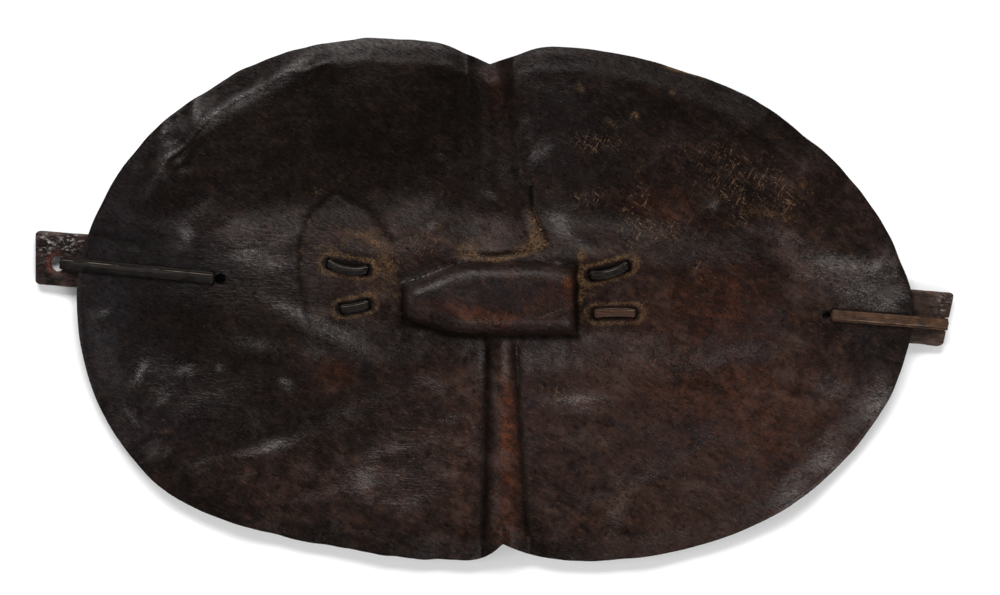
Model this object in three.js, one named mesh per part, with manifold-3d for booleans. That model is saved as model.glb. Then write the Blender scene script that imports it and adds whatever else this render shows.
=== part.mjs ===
// A hide shield: one thick sheet of rawhide, formed wet over a mould, with a hollow boss for the hand
// and a rib above and below it, held by thongs to a wooden stave that runs along its back.
// Millimetres, +Z up. The shield lies face up on its back, long axis along X, origin on the floor
// below its middle.

import * as THREE from 'three';
import { mergeVertices } from 'three/addons/utils/BufferGeometryUtils.js';
import Module from 'manifold-3d';

const wasm = await Module();
wasm.setup();

// Sheet of hide
const hideLength = 840;
const hideWidth = 525;
const hideThickness = 5;
const dishLift = 7; // the hollow of each lobe over the floor
const rimRise = 12; // rise of each lobe from its hollow to its rim
const rimRoll = 9; // fall over the rounded rim
const dishShares = [0.3, 0.89]; // where the rise starts and ends, on the way from middle to rim
const moundReach = 38; // run of the swell over the stave, down to the hollows

// Stave
const staveLength = 924;
const staveWidth = 55;
const staveThickness = 14;
const staveArch = 18; // rise of its middle over its ends
const staveEndThickness = 11; // its ends are planed flat underneath
const staveMiddleY = 11.1;
const staveSkew = -0.0672; // slope of its line across the shield
const staveSway = { depth: 8, at: -60, reach: 130 }; // bend of the grip out of that line
const staveCorner = 4;
const staveEndSlant = 12; // its right end is cut on the slant
const gripWidth = 18;
const gripDepth = 17;
const gripWaist = 3; // how far the grip's front lies below the board's
const gripCorner = 7.5;
const gripHalfLength = 172;
const gripRunOut = 80; // length over which it widens into the board

// Gaps
const restGap = 0.6; // hide over stave
const thongGap = 0.6; // thong to what it lies on
const slotGap = 0.8; // thong to the edge of its slot

// Thongs
const endThongWidth = 12;
const endThongThickness = 3;
const lashingWidth = 10;
const lashingThickness = 2.8;

// Holes: in the stave's left tab, and in the hide beside each end thong
const tabHoleRadius = 8;
const hideHoleRadius = 5.7;
const tabHole = [23 - staveLength / 2, 36.5];
const leftSlot = [138 - hideLength / 2, 21.3];
const rightSlot = [hideLength / 2 - 82, -15.6];
const endNotchDepth = 3; // the right end thong wraps round the stave's end in it
const endNotchY = -25;

// Slots of the lashings, seen from the front: outer and inner, above and below the grip
const lashingSlots = {
  left: { upper: [[-166, 36], [-128, 29.5]], lower: [[-153, -9.5], [-127, -4.5]] },
  right: { upper: [[132, 34], [96, 24]], lower: [[139, -13.5], [100, -14]] },
};

// Boss over the hand
const bossHeight = 28;
const bossCrown = 4;
const bossLeft = -92;
const bossRight = 81;
const bossTop = 38;
const bossBottom = -36;
const bossNose = { top: { draw: 20, run: 72 }, bottom: { draw: 13, run: 60 } }; // it narrows to the left
const bossShoulder = 5; // and a little at the upper right
const bossWalls = { left: 16, right: 13, top: 21, bottom: 27 }; // run of its rounded walls in plan
const bossRound = 3; // 2 would be round walls, more is steeper at the foot and flatter at the top

// Ribs above and below the boss: middle line, half width and height at the boss and at the rim
const upperRib = {
  foot: 40, middle: [8, -5], half: [25, 24], height: [10, 13], flare: 15, flareReach: 13, toe: 7,
};
const lowerRib = {
  foot: 40, middle: [6, 10.5], half: [15, 24], height: [9, 14], flare: 3, flareReach: 6, toe: 2,
};

// Swellings and dents that show from a step away: middle, spread and height
const swellings = [
  { at: [-150, 14], spread: [34, 28], height: 5 }, // under the left lashing
  { at: [116, 8], spread: [28, 27], height: 5 }, // under the right lashing
  { at: [-215, 34], spread: [62, 30], height: 6 }, // along the stave, left
  { at: [-66, 74], spread: [24, 18], height: 6 }, // beside the foot of the upper rib
  { at: [92, 50], spread: [30, 15], height: 6 },
  { at: [372, 18], spread: [38, 15], height: 5 }, // right end
  { at: [-192, -36], spread: [34, 11], height: 5 }, // below the stave, left
  { at: [-126, -196], spread: [20, 15], height: 5 },
  { at: [-345, -88], spread: [15, 14], height: 4 },
  { at: [-310, 58], spread: [13, 14], height: 4 },
  { at: [-330, 118], spread: [14, 22], height: 4 },
  { at: [-256, 44], spread: [18, 14], height: 3 },
  { at: [98, -104], spread: [36, 10], height: 3 },
  { at: [-60, -90], spread: [24, 16], height: 3 },
  { at: [28, 168], spread: [9, 28], height: 3 },
  { at: [222, 88], spread: [11, 9], height: 2.5 },
  { at: [-30, 50], spread: [9, 8], height: -3 }, // pits at the foot of the upper rib
  { at: [46, 58], spread: [7, 12], height: -3 },
];
const undulation = 1.3; // slow unevenness all over the sheet

// Rim of the hide as it was cut, each point a share of its half length and half width. The two
// lobes meet in sharp notches where the ribs run out.
const bottomNotch = [0.019, -0.933];
const topNotch = [-0.012, 0.897];
const leftLobe = [
  bottomNotch, [-0.01, -0.97], [-0.052, -0.996], [-0.229, -0.985], [-0.467, -0.92], [-0.657, -0.84],
  [-0.8, -0.718], [-0.914, -0.505], [-0.979, -0.261], [-1, 0.029], [-0.969, 0.261], [-0.906, 0.47],
  [-0.8, 0.669], [-0.657, 0.832], [-0.467, 0.962], [-0.264, 1], [-0.133, 0.981], [-0.067, 0.939],
  topNotch,
];
const rightLobe = [
  topNotch, [0.043, 0.931], [0.117, 0.966], [0.248, 0.954], [0.438, 0.882], [0.629, 0.756],
  [0.795, 0.55], [0.914, 0.33], [0.981, 0.09], [1, -0.051], [0.983, -0.215], [0.914, -0.455],
  [0.795, -0.68], [0.629, -0.859], [0.438, -0.962], [0.26, -1], [0.117, -0.989], [0.06, -0.962],
  bottomNotch,
];

// Fineness of the faceted surfaces
const fineStep = 8.6;
const coarseStep = 27;
const rimSteps = 40; // per lobe
const staveSteps = 36;
const far = 200; // cutters reach this far past what they cut

const clamp = THREE.MathUtils.clamp;
const lerp = THREE.MathUtils.lerp;
const ease = (low, high, value) => THREE.MathUtils.smoothstep(value, low, high);

// Stave: its middle line, width and heights along X

function staveY(x) {
  const sway = staveSway.depth * Math.exp(-(((x - staveSway.at) / staveSway.reach) ** 2));
  return staveMiddleY + staveSkew * x - sway;
}

// 1 along the grip, 0 along the board.
function gripShare(x) {
  return 1 - ease(gripHalfLength, gripHalfLength + gripRunOut, Math.abs(x));
}

function staveHalfWidth(x) {
  return lerp(staveWidth, gripWidth, gripShare(x)) / 2;
}

// The front of the board, which the hide lies on.
function bedZ(x) {
  return staveEndThickness + staveArch * (1 - (2 * x / staveLength) ** 2);
}

function staveTop(x) {
  return bedZ(x) - gripWaist * gripShare(x);
}

function staveBottom(x) {
  const depth = lerp(staveThickness, gripWaist + gripDepth, gripShare(x));
  return Math.max(0, bedZ(x) - depth);
}

function staveCornerAt(x) {
  return lerp(staveCorner, gripCorner, gripShare(x));
}

// Rim of the hide, as one closed line that runs clockwise round the middle

const rimLine = [leftLobe, rightLobe].flatMap((lobe) => {
  const knots = lobe.map(([x, y]) => new THREE.Vector3(x * hideLength / 2, y * hideWidth / 2, 0));
  return new THREE.CatmullRomCurve3(knots, false, 'centripetal').getSpacedPoints(rimSteps).slice(0, -1);
});

// How far a place lies on the way from the middle to the rim, as a share.
function rimShare(x, y) {
  const out = Math.hypot(x, y);
  if (out < 1) return 0;
  for (let i = 0; i < rimLine.length; i += 1) {
    const [a, b] = [rimLine[i], rimLine[(i + 1) % rimLine.length]];
    const before = x * a.y - y * a.x;
    const after = x * b.y - y * b.x;
    if (before >= 0 && after < 0 && a.x * x + a.y * y > 0) {
      const reach = (b.x * a.y - b.y * a.x) * out / (x * (a.y - b.y) - y * (a.x - b.x));
      return out / reach;
    }
  }
  return 0;
}

// Front of the hide

function bossRise(x, y) {
  const fromLeft = x - bossLeft;
  const narrowing = ({ draw, run }) => (1 - ease(0, run, fromLeft)) * draw;
  const top = bossTop - narrowing(bossNose.top) - bossShoulder * ease(bossRight / 2, bossRight, x);
  const bottom = bossBottom + narrowing(bossNose.bottom);
  const shares = [
    fromLeft / bossWalls.left,
    (bossRight - x) / bossWalls.right,
    (top - y) / bossWalls.top,
    (y - bottom) / bossWalls.bottom,
  ];
  const wall = shares.reduce((all, share) => {
    const inside = 1 - clamp(share, 0, 1);
    return all * (1 - inside ** bossRound) ** (1 / bossRound) * ease(0, 0.2, share);
  }, 1);
  const across = (2 * y - top - bottom) / (top - bottom);
  return wall * (bossHeight + bossCrown * (1 - across ** 2));
}

function ribRise(rib, x, out, reach) {
  const along = clamp((out - rib.foot) / (reach - rib.foot), 0, 1);
  const fromFoot = Math.max(0, out - rib.foot);
  const half = lerp(rib.half[0], rib.half[1], along) + rib.flare * Math.exp(-fromFoot / rib.flareReach);
  const height = lerp(rib.height[0], rib.height[1], along) - rib.toe * Math.exp(-fromFoot / (2 * rib.foot));
  const side = (x - lerp(rib.middle[0], rib.middle[1], along)) / half;
  return Math.abs(side) < 1 ? height * (1 - side * side) ** 1.3 * ease(0, rib.foot, out) : 0;
}

function swellingRise({ at, spread, height }, x, y) {
  return height * Math.exp(-(((x - at[0]) / spread[0]) ** 2 + ((y - at[1]) / spread[1]) ** 2) / 2);
}

function unevenness(x, y) {
  return undulation * (Math.sin(x / 31 + 1.3 * Math.sin(y / 47)) * Math.sin(y / 26 + 0.8)
    + 0.6 * Math.sin(x / 17 - y / 23) * Math.sin(x / 53 + y / 19));
}

// The sheet without boss, ribs and swellings: it swells over the stave, falls off into a shallow
// dish on either side, and rises again to a rounded rim.
function dishFront(x, y) {
  const share = rimShare(x, y);
  const dish = dishLift + rimRise * ease(dishShares[0], dishShares[1], share)
    - rimRoll * ease(dishShares[1], 1, share) ** 1.3;
  const offStave = Math.max(0, Math.abs(y - staveY(x)) - staveWidth / 2);
  const mound = Math.exp(-((offStave / moundReach) ** 2));
  return hideThickness + lerp(dish, bedZ(x) + restGap, mound);
}

// Height of the hide's front over the floor.
function hideFront(x, y) {
  const offStave = ease(staveWidth / 2, staveWidth, Math.abs(y - staveY(x)));
  const rises = swellings.map((swelling) => {
    const rise = swellingRise(swelling, x, y);
    return rise < 0 ? rise * offStave : rise; // nothing presses the hide into the stave
  });
  const soft = rises.reduce((all, rise) => all + rise, 0) + unevenness(x, y) * offStave;
  const rib = y > 0
    ? ribRise(upperRib, x, y, topNotch[1] * hideWidth / 2)
    : ribRise(lowerRib, x, -y, -bottomNotch[1] * hideWidth / 2);
  const boss = bossRise(x, y);
  const calm = 1 - ease(0, bossHeight, boss); // the boss is even
  return dishFront(x, y) + (soft + rib) * calm + boss;
}

// The back lies one thickness behind the front, measured square to it: a ball of that radius
// rolled under the front.
function hideBack(x, y) {
  let lowest = hideFront(x, y) - hideThickness;
  for (const share of [0.4, 0.75, 0.95]) {
    const out = share * hideThickness;
    for (let turn = 0; turn < 8; turn += 1) {
      const angle = turn * Math.PI / 4;
      const there = hideFront(x + out * Math.cos(angle), y + out * Math.sin(angle));
      lowest = Math.min(lowest, there - Math.sqrt(hideThickness ** 2 - out ** 2));
    }
  }
  return lowest;
}

// Solids

function solidOf(geometry) {
  const bare = geometry.clone();
  bare.deleteAttribute('normal');
  bare.deleteAttribute('uv');
  const merged = mergeVertices(bare, 1e-4);
  return new wasm.Manifold(new wasm.Mesh({
    numProp: 3,
    vertProperties: merged.attributes.position.array,
    triVerts: new Uint32Array(merged.index.array),
  }));
}

function geometryOf(solid) {
  const mesh = solid.getMesh();
  const geometry = new THREE.BufferGeometry();
  geometry.setAttribute('position', new THREE.BufferAttribute(mesh.vertProperties, mesh.numProp));
  geometry.setIndex(new THREE.BufferAttribute(mesh.triVerts, 1));
  geometry.computeVertexNormals();
  return geometry;
}

// An upright prism of a plan outline, through everything.
function prism(outline) {
  const geometry = new THREE.ExtrudeGeometry(outline, { depth: 2 * far, bevelEnabled: false, curveSegments: 8 });
  return solidOf(geometry.translate(0, 0, -far));
}

// A slot with round ends for a flat thong that passes through it, with room on all sides.
function slotPrism([x, y], turn, width, thickness) {
  const half = width / 2 + slotGap;
  const end = thickness / 2 + slotGap;
  const outline = new THREE.Shape();
  outline.absarc(0, half - end, end, 0, Math.PI, false);
  outline.absarc(0, end - half, end, Math.PI, 2 * Math.PI, false);
  const points = outline.getPoints(3).map((point) => point.rotateAround(new THREE.Vector2(), turn));
  return prism(new THREE.Shape(points.map((point) => point.add(new THREE.Vector2(x, y)))));
}

function discPrism([x, y], radius) {
  return prism(new THREE.Shape().absarc(x, y, radius, 0, 2 * Math.PI, false));
}

// Places from low to high, fine inside the given stretch and coarse outside it.
function gridLines(low, high, fineLow, fineHigh) {
  const stretches = [[low, fineLow, coarseStep], [fineLow, fineHigh, fineStep], [fineHigh, high, coarseStep]];
  const lines = [low];
  for (const [from, to, step] of stretches) {
    const count = Math.max(1, Math.round((to - from) / step));
    for (let i = 1; i <= count; i += 1) lines.push(lerp(from, to, i / count));
  }
  return lines;
}

// The uncut sheet: front and back over one grid, closed round its sides.
function sheetGeometry() {
  const margin = 12;
  const [halfLength, halfWidth] = [hideLength / 2 + margin, hideWidth / 2 + margin];
  const xs = gridLines(-halfLength, halfLength, bossLeft - fineStep, bossRight + fineStep);
  const ys = gridLines(-halfWidth, halfWidth, bossBottom - fineStep, bossTop + fineStep);
  const columns = xs.length;
  const layer = columns * ys.length;
  const positions = [];
  for (const height of [hideFront, hideBack]) {
    for (const y of ys) for (const x of xs) positions.push(x, y, height(x, y));
  }
  const faces = [];
  const quad = (a, b, c, d) => faces.push(a, b, c, a, c, d);
  for (let j = 0; j + 1 < ys.length; j += 1) {
    for (let i = 0; i + 1 < columns; i += 1) {
      const a = j * columns + i;
      quad(a, a + 1, a + columns + 1, a + columns);
      quad(layer + a, layer + a + columns, layer + a + columns + 1, layer + a + 1);
    }
  }
  for (let i = 0; i + 1 < columns; i += 1) {
    const last = layer - columns + i;
    quad(i, layer + i, layer + i + 1, i + 1);
    quad(last, last + 1, layer + last + 1, layer + last);
  }
  for (let a = 0; a + columns < layer; a += columns) {
    const end = a + columns - 1;
    quad(a, a + columns, layer + a + columns, layer + a);
    quad(end, layer + end, layer + end + columns, end + columns);
  }
  const geometry = new THREE.BufferGeometry();
  geometry.setAttribute('position', new THREE.Float32BufferAttribute(positions, 3));
  geometry.setIndex(faces);
  return geometry;
}

const planTurn = ([fromX, fromY], [toX, toY]) => Math.atan2(toY - fromY, toX - fromX);

// Right end of the stave at a given y.
function staveEndX(y) {
  const low = staveY(staveLength / 2) - staveWidth / 2;
  return staveLength / 2 - staveEndSlant * (1 - (y - low) / staveWidth);
}

const endLift = thongGap + endThongThickness / 2; // from a surface to the middle of an end thong on it
const grooveWidth = endThongWidth + 2 * slotGap;
const grooveDepth = endLift + endThongThickness / 2 + thongGap;
const tabHoleRoom = Math.sqrt(tabHoleRadius ** 2 - (endThongWidth / 2) ** 2) - endLift;
const leftOuter = [tabHole[0] + tabHoleRoom, tabHole[1]];
const rightOuter = [staveEndX(endNotchY) - endNotchDepth + endLift, endNotchY];

const endThongs = {
  left: { outer: leftOuter, slot: leftSlot, hole: hideHoleRadius },
  right: { outer: rightOuter, slot: rightSlot, hole: 0.8 * hideHoleRadius },
};

function makeHide() {
  const plan = new THREE.Shape(rimLine.map((point) => new THREE.Vector2(point.x, point.y)));
  let solid = solidOf(sheetGeometry()).intersect(prism(plan));
  for (const { outer, slot, hole } of Object.values(endThongs)) {
    const turn = planTurn(outer, slot);
    const past = endThongThickness / 2 + slotGap + 0.9 * hole; // the round hole opens beside the thong
    solid = solid.subtract(slotPrism(slot, turn, endThongWidth, endThongThickness));
    solid = solid.subtract(discPrism([slot[0] + past * Math.cos(turn), slot[1] + past * Math.sin(turn)], hole));
  }
  for (const run of Object.values(lashingSlots).flatMap(({ upper, lower }) => [upper, lower])) {
    for (const place of run) {
      solid = solid.subtract(slotPrism(place, planTurn(...run), lashingWidth, lashingThickness));
    }
  }
  return geometryOf(solid);
}

// One closed section of the stave at x: a rectangle with round corners.
function staveSection(x) {
  const [top, bottom, half, corner] = [staveTop(x), staveBottom(x), staveHalfWidth(x), staveCornerAt(x)];
  const section = [];
  for (const [right, up, from] of [[1, 1, 0], [-1, 1, 1], [-1, -1, 2], [1, -1, 3]]) {
    for (let i = 0; i < 3; i += 1) {
      const angle = (from + i / 2) * Math.PI / 2;
      const y = staveY(x) + right * (half - corner) + corner * Math.cos(angle);
      const z = (up > 0 ? top - corner : bottom + corner) + corner * Math.sin(angle);
      section.push(new THREE.Vector3(x, y, z));
    }
  }
  return section;
}

// A skin over a row of sections that have as many points each. A closed row joins up into a ring,
// and an open one is capped at both ends.
function skin(sections, closed) {
  const sides = sections[0].length;
  const positions = sections.flat().flatMap((point) => [point.x, point.y, point.z]);
  const faces = [];
  const rows = closed ? sections.length : sections.length - 1;
  for (let i = 0; i < rows; i += 1) {
    const next = (i + 1) % sections.length;
    for (let k = 0; k < sides; k += 1) {
      const [a, b] = [i * sides + k, i * sides + (k + 1) % sides];
      const [c, d] = [next * sides + (k + 1) % sides, next * sides + k];
      faces.push(a, b, c, a, c, d);
    }
  }
  if (!closed) {
    const last = (sections.length - 1) * sides;
    for (let k = 1; k + 1 < sides; k += 1) faces.push(0, k + 1, k, last, last + k, last + k + 1);
  }
  const geometry = new THREE.BufferGeometry();
  geometry.setAttribute('position', new THREE.Float32BufferAttribute(positions, 3));
  geometry.setIndex(faces);
  return geometry;
}

// Plan of the stave's ends: the left one square with round corners, the right one on the slant.
function staveEndsShape() {
  const [half, round] = [staveLength / 2, staveCorner];
  const [leftTop, leftBottom] = [1, -1].map((side) => staveY(-half) + side * staveWidth / 2);
  const [rightTop, rightBottom] = [1, -1].map((side) => staveY(half) + side * staveWidth / 2);
  const shape = new THREE.Shape();
  shape.moveTo(-half + round, leftBottom);
  shape.lineTo(0, -far);
  shape.lineTo(staveEndX(rightBottom) - round, rightBottom);
  shape.quadraticCurveTo(staveEndX(rightBottom), rightBottom, staveEndX(rightBottom + round), rightBottom + round);
  shape.lineTo(staveEndX(rightTop - round), rightTop - round);
  shape.quadraticCurveTo(half, rightTop, half - round, rightTop);
  shape.lineTo(0, far);
  shape.lineTo(-half + round, leftTop);
  shape.quadraticCurveTo(-half, leftTop, -half, leftTop - round);
  shape.lineTo(-half, leftBottom + round);
  shape.quadraticCurveTo(-half, leftBottom, -half + round, leftBottom);
  return shape;
}

// Cutter for the channel that an end thong lies in on the stave's back.
function grooveCutter([fromX, fromY], [toX, toY]) {
  const count = 6;
  const sections = [];
  for (let i = 0; i <= count; i += 1) {
    const x = lerp(fromX, toX, i / count);
    const y = lerp(fromY, toY, i / count);
    const top = staveBottom(x) + grooveDepth;
    const corners = [[-1, -far], [1, -far], [1, top], [-1, top]];
    sections.push(corners.map(([side, z]) => new THREE.Vector3(x, y + side * grooveWidth / 2, z)));
  }
  return solidOf(skin(sections, false));
}

function makeStave() {
  const sections = [];
  for (let i = 0; i <= staveSteps; i += 1) sections.push(staveSection((i / staveSteps - 0.5) * staveLength));
  let solid = solidOf(skin(sections, false)).intersect(prism(staveEndsShape()));
  solid = solid.subtract(discPrism(tabHole, tabHoleRadius));
  for (const { outer, slot } of Object.values(endThongs)) {
    solid = solid.subtract(slotPrism(slot, planTurn(outer, slot), endThongWidth, endThongThickness));
  }
  const notch = new THREE.BoxGeometry(far, grooveWidth, 2 * far);
  notch.translate(rightOuter[0] - endLift + far / 2, endNotchY, 0);
  solid = solid.subtract(solidOf(notch));
  solid = solid.subtract(grooveCutter(leftOuter, leftSlot));
  solid = solid.subtract(grooveCutter(rightSlot, rightOuter));
  return geometryOf(solid);
}

// A flat thong that closes on itself. Each knot is a point of its middle line with the direction
// of its width, and the sections stand on the mitres between the straight stretches.
function thongLoop(knots, width, thickness) {
  const outline = [[0.5, 0], [0.42, 0.5], [-0.42, 0.5], [-0.5, 0], [-0.42, -0.5], [0.42, -0.5]];
  const sections = knots.map(({ at, across }, i) => {
    const arriving = at.clone().sub(knots.at(i - 1).at).normalize();
    const leaving = knots[(i + 1) % knots.length].at.clone().sub(at).normalize();
    const mitre = 1 / Math.cos(arriving.angleTo(leaving) / 2);
    const tangent = arriving.add(leaving).normalize();
    const side = across.clone().addScaledVector(tangent, -across.dot(tangent)).normalize();
    const up = new THREE.Vector3().crossVectors(tangent, side);
    return outline.map(([s, u]) => at.clone().addScaledVector(side, s * width)
      .addScaledVector(up, u * thickness * mitre));
  });
  return skin(sections, true);
}

const [upward, downward] = [new THREE.Vector3(0, 0, 1), new THREE.Vector3(0, 0, -1)];

// Knots of a round bend of a quarter turn.
function bend([x, y], z, from, to, radius, across) {
  const corner = new THREE.Vector3(x, y, z);
  const inside = to.clone().sub(from);
  return [
    { at: corner.clone().addScaledVector(from, -radius), across },
    { at: corner.clone().addScaledVector(inside, radius * (1 - Math.SQRT1_2)), across },
    { at: corner.clone().addScaledVector(to, radius), across },
  ];
}

// Knots along a straight line in plan, on a surface and tilted with it.
function layOn(surface, from, to, shares, width, lift) {
  const turn = planTurn(from, to);
  const [sideX, sideY] = [-Math.sin(turn) * width / 2, Math.cos(turn) * width / 2];
  return shares.map((share) => {
    const [x, y] = [lerp(from[0], to[0], share), lerp(from[1], to[1], share)];
    const [left, middle, right] = [1, 0, -1].map((side) => surface(x + side * sideX, y + side * sideY));
    const across = new THREE.Vector3(2 * sideX, 2 * sideY, left - right).normalize();
    return { at: new THREE.Vector3(x, y, Math.max(middle, (left + right) / 2) + lift), across };
  });
}

// An end thong runs out over the stave's end, along the hide, down through hide and stave, and
// back in its channel.
function makeEndThong({ outer, slot }) {
  const turn = planTurn(outer, slot);
  const [inward, across] = [new THREE.Vector3(Math.cos(turn), Math.sin(turn), 0),
    new THREE.Vector3(-Math.sin(turn), Math.cos(turn), 0)];
  const outward = inward.clone().negate();
  const span = Math.abs(slot[0] - outer[0]);
  const rim = (Math.abs(outer[0]) - hideLength / 2) / span; // share of the run at which the hide starts
  const along = [rim - 0.005];
  for (let i = 1; i <= 8; i += 1) along.push(lerp(rim, 1, i / 9));
  const channel = (x) => staveBottom(x) + grooveDepth;
  const knots = [
    ...bend(outer, staveTop(outer[0]) + endLift, upward, inward, endLift, across),
    ...layOn(hideFront, outer, slot, along, endThongWidth, endLift),
    ...bend(slot, hideFront(...slot) + endLift, inward, downward, endLift, across),
    ...bend(slot, channel(slot[0]) - endLift, downward, outward, endLift, across),
    ...layOn(channel, slot, outer, [0.2, 0.4, 0.6, 0.8], endThongWidth, -endLift),
    ...bend(outer, channel(outer[0]) - endLift, outward, upward, endLift, across),
  ];
  return thongLoop(knots, endThongWidth, endThongThickness);
}

const lashingLift = thongGap + lashingThickness / 2;

// Knots of a lashing behind the hide, from one slot round the back of the grip to the other.
function wrap(from, to) {
  const half = ([x, y]) => {
    const middle = staveY(x);
    const side = Math.sign(y - middle);
    const [top, bottom, corner] = [staveTop(x), staveBottom(x), staveCornerAt(x)];
    const edge = staveHalfWidth(x) + lashingLift;
    const round = corner + lashingLift;
    const flat = staveHalfWidth(x) - corner;
    const along = new THREE.Vector3(2, staveY(x + 1) - staveY(x - 1), bedZ(x + 1) - bedZ(x - 1)).normalize();
    const slanting = new THREE.Vector3(1, 1, 0).normalize();
    const below = [[edge, top - corner], [edge, bottom + corner],
      [flat + round * Math.SQRT1_2, bottom + corner - round * Math.SQRT1_2],
      [flat, bottom - lashingLift - 2 * thongGap]];
    return [
      { at: new THREE.Vector3(x, y, hideBack(x, y) - lashingWidth / 2), across: slanting },
      ...below.map(([out, z]) => ({ at: new THREE.Vector3(x, middle + side * out, z), across: along })),
    ];
  };
  return [...half(from), ...half(to).reverse()];
}

// A lashing runs over the front above the grip, round behind it, over the front below it, and
// round behind it again.
function makeLashing({ upper, lower }) {
  const run = (from, to) => {
    const turn = planTurn(from, to);
    const ahead = new THREE.Vector3(Math.cos(turn), Math.sin(turn), 0);
    const across = new THREE.Vector3(-ahead.y, ahead.x, 0).multiplyScalar(Math.sign(ahead.x));
    const onHide = layOn(hideFront, from, to, [0.25, 0.5, 0.75], lashingWidth, lashingLift);
    for (const knot of onHide) knot.across.multiplyScalar(Math.sign(ahead.x));
    const under = ([x, y]) => ({ at: new THREE.Vector3(x, y, hideBack(x, y) - 0.5), across });
    return [
      under(from),
      ...bend(from, hideFront(...from) + lashingLift, upward, ahead, lashingLift, across),
      ...onHide,
      ...bend(to, hideFront(...to) + lashingLift, ahead, downward, lashingLift, across),
      under(to),
    ];
  };
  const knots = [
    ...run(upper[0], upper[1]),
    ...wrap(upper[1], lower[1]),
    ...run(lower[1], lower[0]),
    ...wrap(lower[0], upper[0]),
  ];
  return thongLoop(knots, lashingWidth, lashingThickness);
}

// Finishes
const hideFinish = new THREE.MeshStandardMaterial({ color: 0x33261f, roughness: 0.5, metalness: 0 });
const woodFinish = new THREE.MeshStandardMaterial({ color: 0x3c261c, roughness: 0.45, metalness: 0 });
const thongFinish = new THREE.MeshStandardMaterial({ color: 0x2e2520, roughness: 0.6, metalness: 0 });
const wornThongFinish = new THREE.MeshStandardMaterial({ color: 0x4a3426, roughness: 0.65, metalness: 0 });

const shield = new THREE.Group();

function addPiece(name, geometry, finish) {
  const mesh = new THREE.Mesh(geometry, finish);
  mesh.name = name;
  shield.add(mesh);
}

addPiece('hide', makeHide(), hideFinish);
addPiece('stave', makeStave(), woodFinish);
addPiece('left_end_thong', makeEndThong(endThongs.left), thongFinish);
addPiece('right_end_thong', makeEndThong(endThongs.right), wornThongFinish);
addPiece('left_grip_lashing', makeLashing(lashingSlots.left), thongFinish);
addPiece('right_grip_lashing', makeLashing(lashingSlots.right), thongFinish);

export default shield;
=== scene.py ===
import math

import bpy
import numpy as np
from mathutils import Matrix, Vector


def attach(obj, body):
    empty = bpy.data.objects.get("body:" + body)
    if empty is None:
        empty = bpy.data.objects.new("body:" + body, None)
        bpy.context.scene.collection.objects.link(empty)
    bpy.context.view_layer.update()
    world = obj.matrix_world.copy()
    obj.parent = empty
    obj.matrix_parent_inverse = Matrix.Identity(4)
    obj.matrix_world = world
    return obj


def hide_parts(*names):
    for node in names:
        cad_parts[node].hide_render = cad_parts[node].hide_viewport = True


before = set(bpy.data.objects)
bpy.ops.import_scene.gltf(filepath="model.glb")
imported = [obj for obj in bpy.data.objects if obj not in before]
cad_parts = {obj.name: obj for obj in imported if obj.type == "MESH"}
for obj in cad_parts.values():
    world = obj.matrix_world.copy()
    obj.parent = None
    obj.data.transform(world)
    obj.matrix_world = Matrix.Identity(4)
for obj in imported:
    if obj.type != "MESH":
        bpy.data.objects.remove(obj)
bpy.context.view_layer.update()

# The hide is one sheet of thick rawhide, cut to an oval with a notch at the top and bottom, and
# pressed wet over a mould, so that the boss, the two ribs and the dished lobes are all one skin.
# It dried hard and dark, was rubbed glossy by hands, and is held to the stave only by its thongs.

MM = 0.001
HIDE_LENGTH = 840
HIDE_WIDTH = 525
HIDE_THICKNESS = 5
DISH_LIFT = 7
RIM_RISE = 12
RIM_ROLL = 9
DISH_SHARES = (0.3, 0.89)
MOUND_REACH = 38
REST_GAP = 0.6

BOTTOM_NOTCH = (0.019, -0.933)
TOP_NOTCH = (-0.012, 0.897)
LEFT_LOBE = [
    BOTTOM_NOTCH, (-0.01, -0.97), (-0.052, -0.996), (-0.229, -0.985), (-0.467, -0.92),
    (-0.657, -0.84), (-0.8, -0.718), (-0.914, -0.505), (-0.979, -0.261), (-1, 0.029),
    (-0.969, 0.261), (-0.906, 0.47), (-0.8, 0.669), (-0.657, 0.832), (-0.467, 0.962),
    (-0.264, 1), (-0.133, 0.981), (-0.067, 0.939), TOP_NOTCH,
]
RIGHT_LOBE = [
    TOP_NOTCH, (0.043, 0.931), (0.117, 0.966), (0.248, 0.954), (0.438, 0.882), (0.629, 0.756),
    (0.795, 0.55), (0.914, 0.33), (0.981, 0.09), (1, -0.051), (0.983, -0.215), (0.914, -0.455),
    (0.795, -0.68), (0.629, -0.859), (0.438, -0.962), (0.26, -1), (0.117, -0.989),
    (0.06, -0.962), BOTTOM_NOTCH,
]

STAVE_LENGTH = 924
STAVE_WIDTH = 55
STAVE_THICKNESS = 14
STAVE_ARCH = 18
STAVE_END_THICKNESS = 11
STAVE_CORNER = 4
GRIP_WIDTH = 18
GRIP_DEPTH = 17
GRIP_WAIST = 3
GRIP_CORNER = 7.5
GRIP_HALF_LENGTH = 172
GRIP_RUN_OUT = 80


def ease(low, high, value):
    t = np.clip((value - low) / (high - low), 0, 1)
    return t * t * (3 - 2 * t)


def lerp(a, b, share):
    return a + (b - a) * share


# Middle line of the stave in plan: its place and slope, and how it sways left of the grip
STAVE_MIDDLE, STAVE_SLOPE = 11.1, -0.0672
STAVE_SWAY = {"at": -60, "reach": 130, "depth": 8}


def stave_y(x):
    sway = STAVE_SWAY["depth"] * np.exp(-(((x - STAVE_SWAY["at"]) / STAVE_SWAY["reach"]) ** 2))
    return STAVE_MIDDLE + STAVE_SLOPE * x - sway


def grip_share(x):
    return 1 - ease(GRIP_HALF_LENGTH, GRIP_HALF_LENGTH + GRIP_RUN_OUT, np.abs(x))


def bed_z(x):
    return STAVE_END_THICKNESS + STAVE_ARCH * (1 - (2 * x / STAVE_LENGTH) ** 2)


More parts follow.
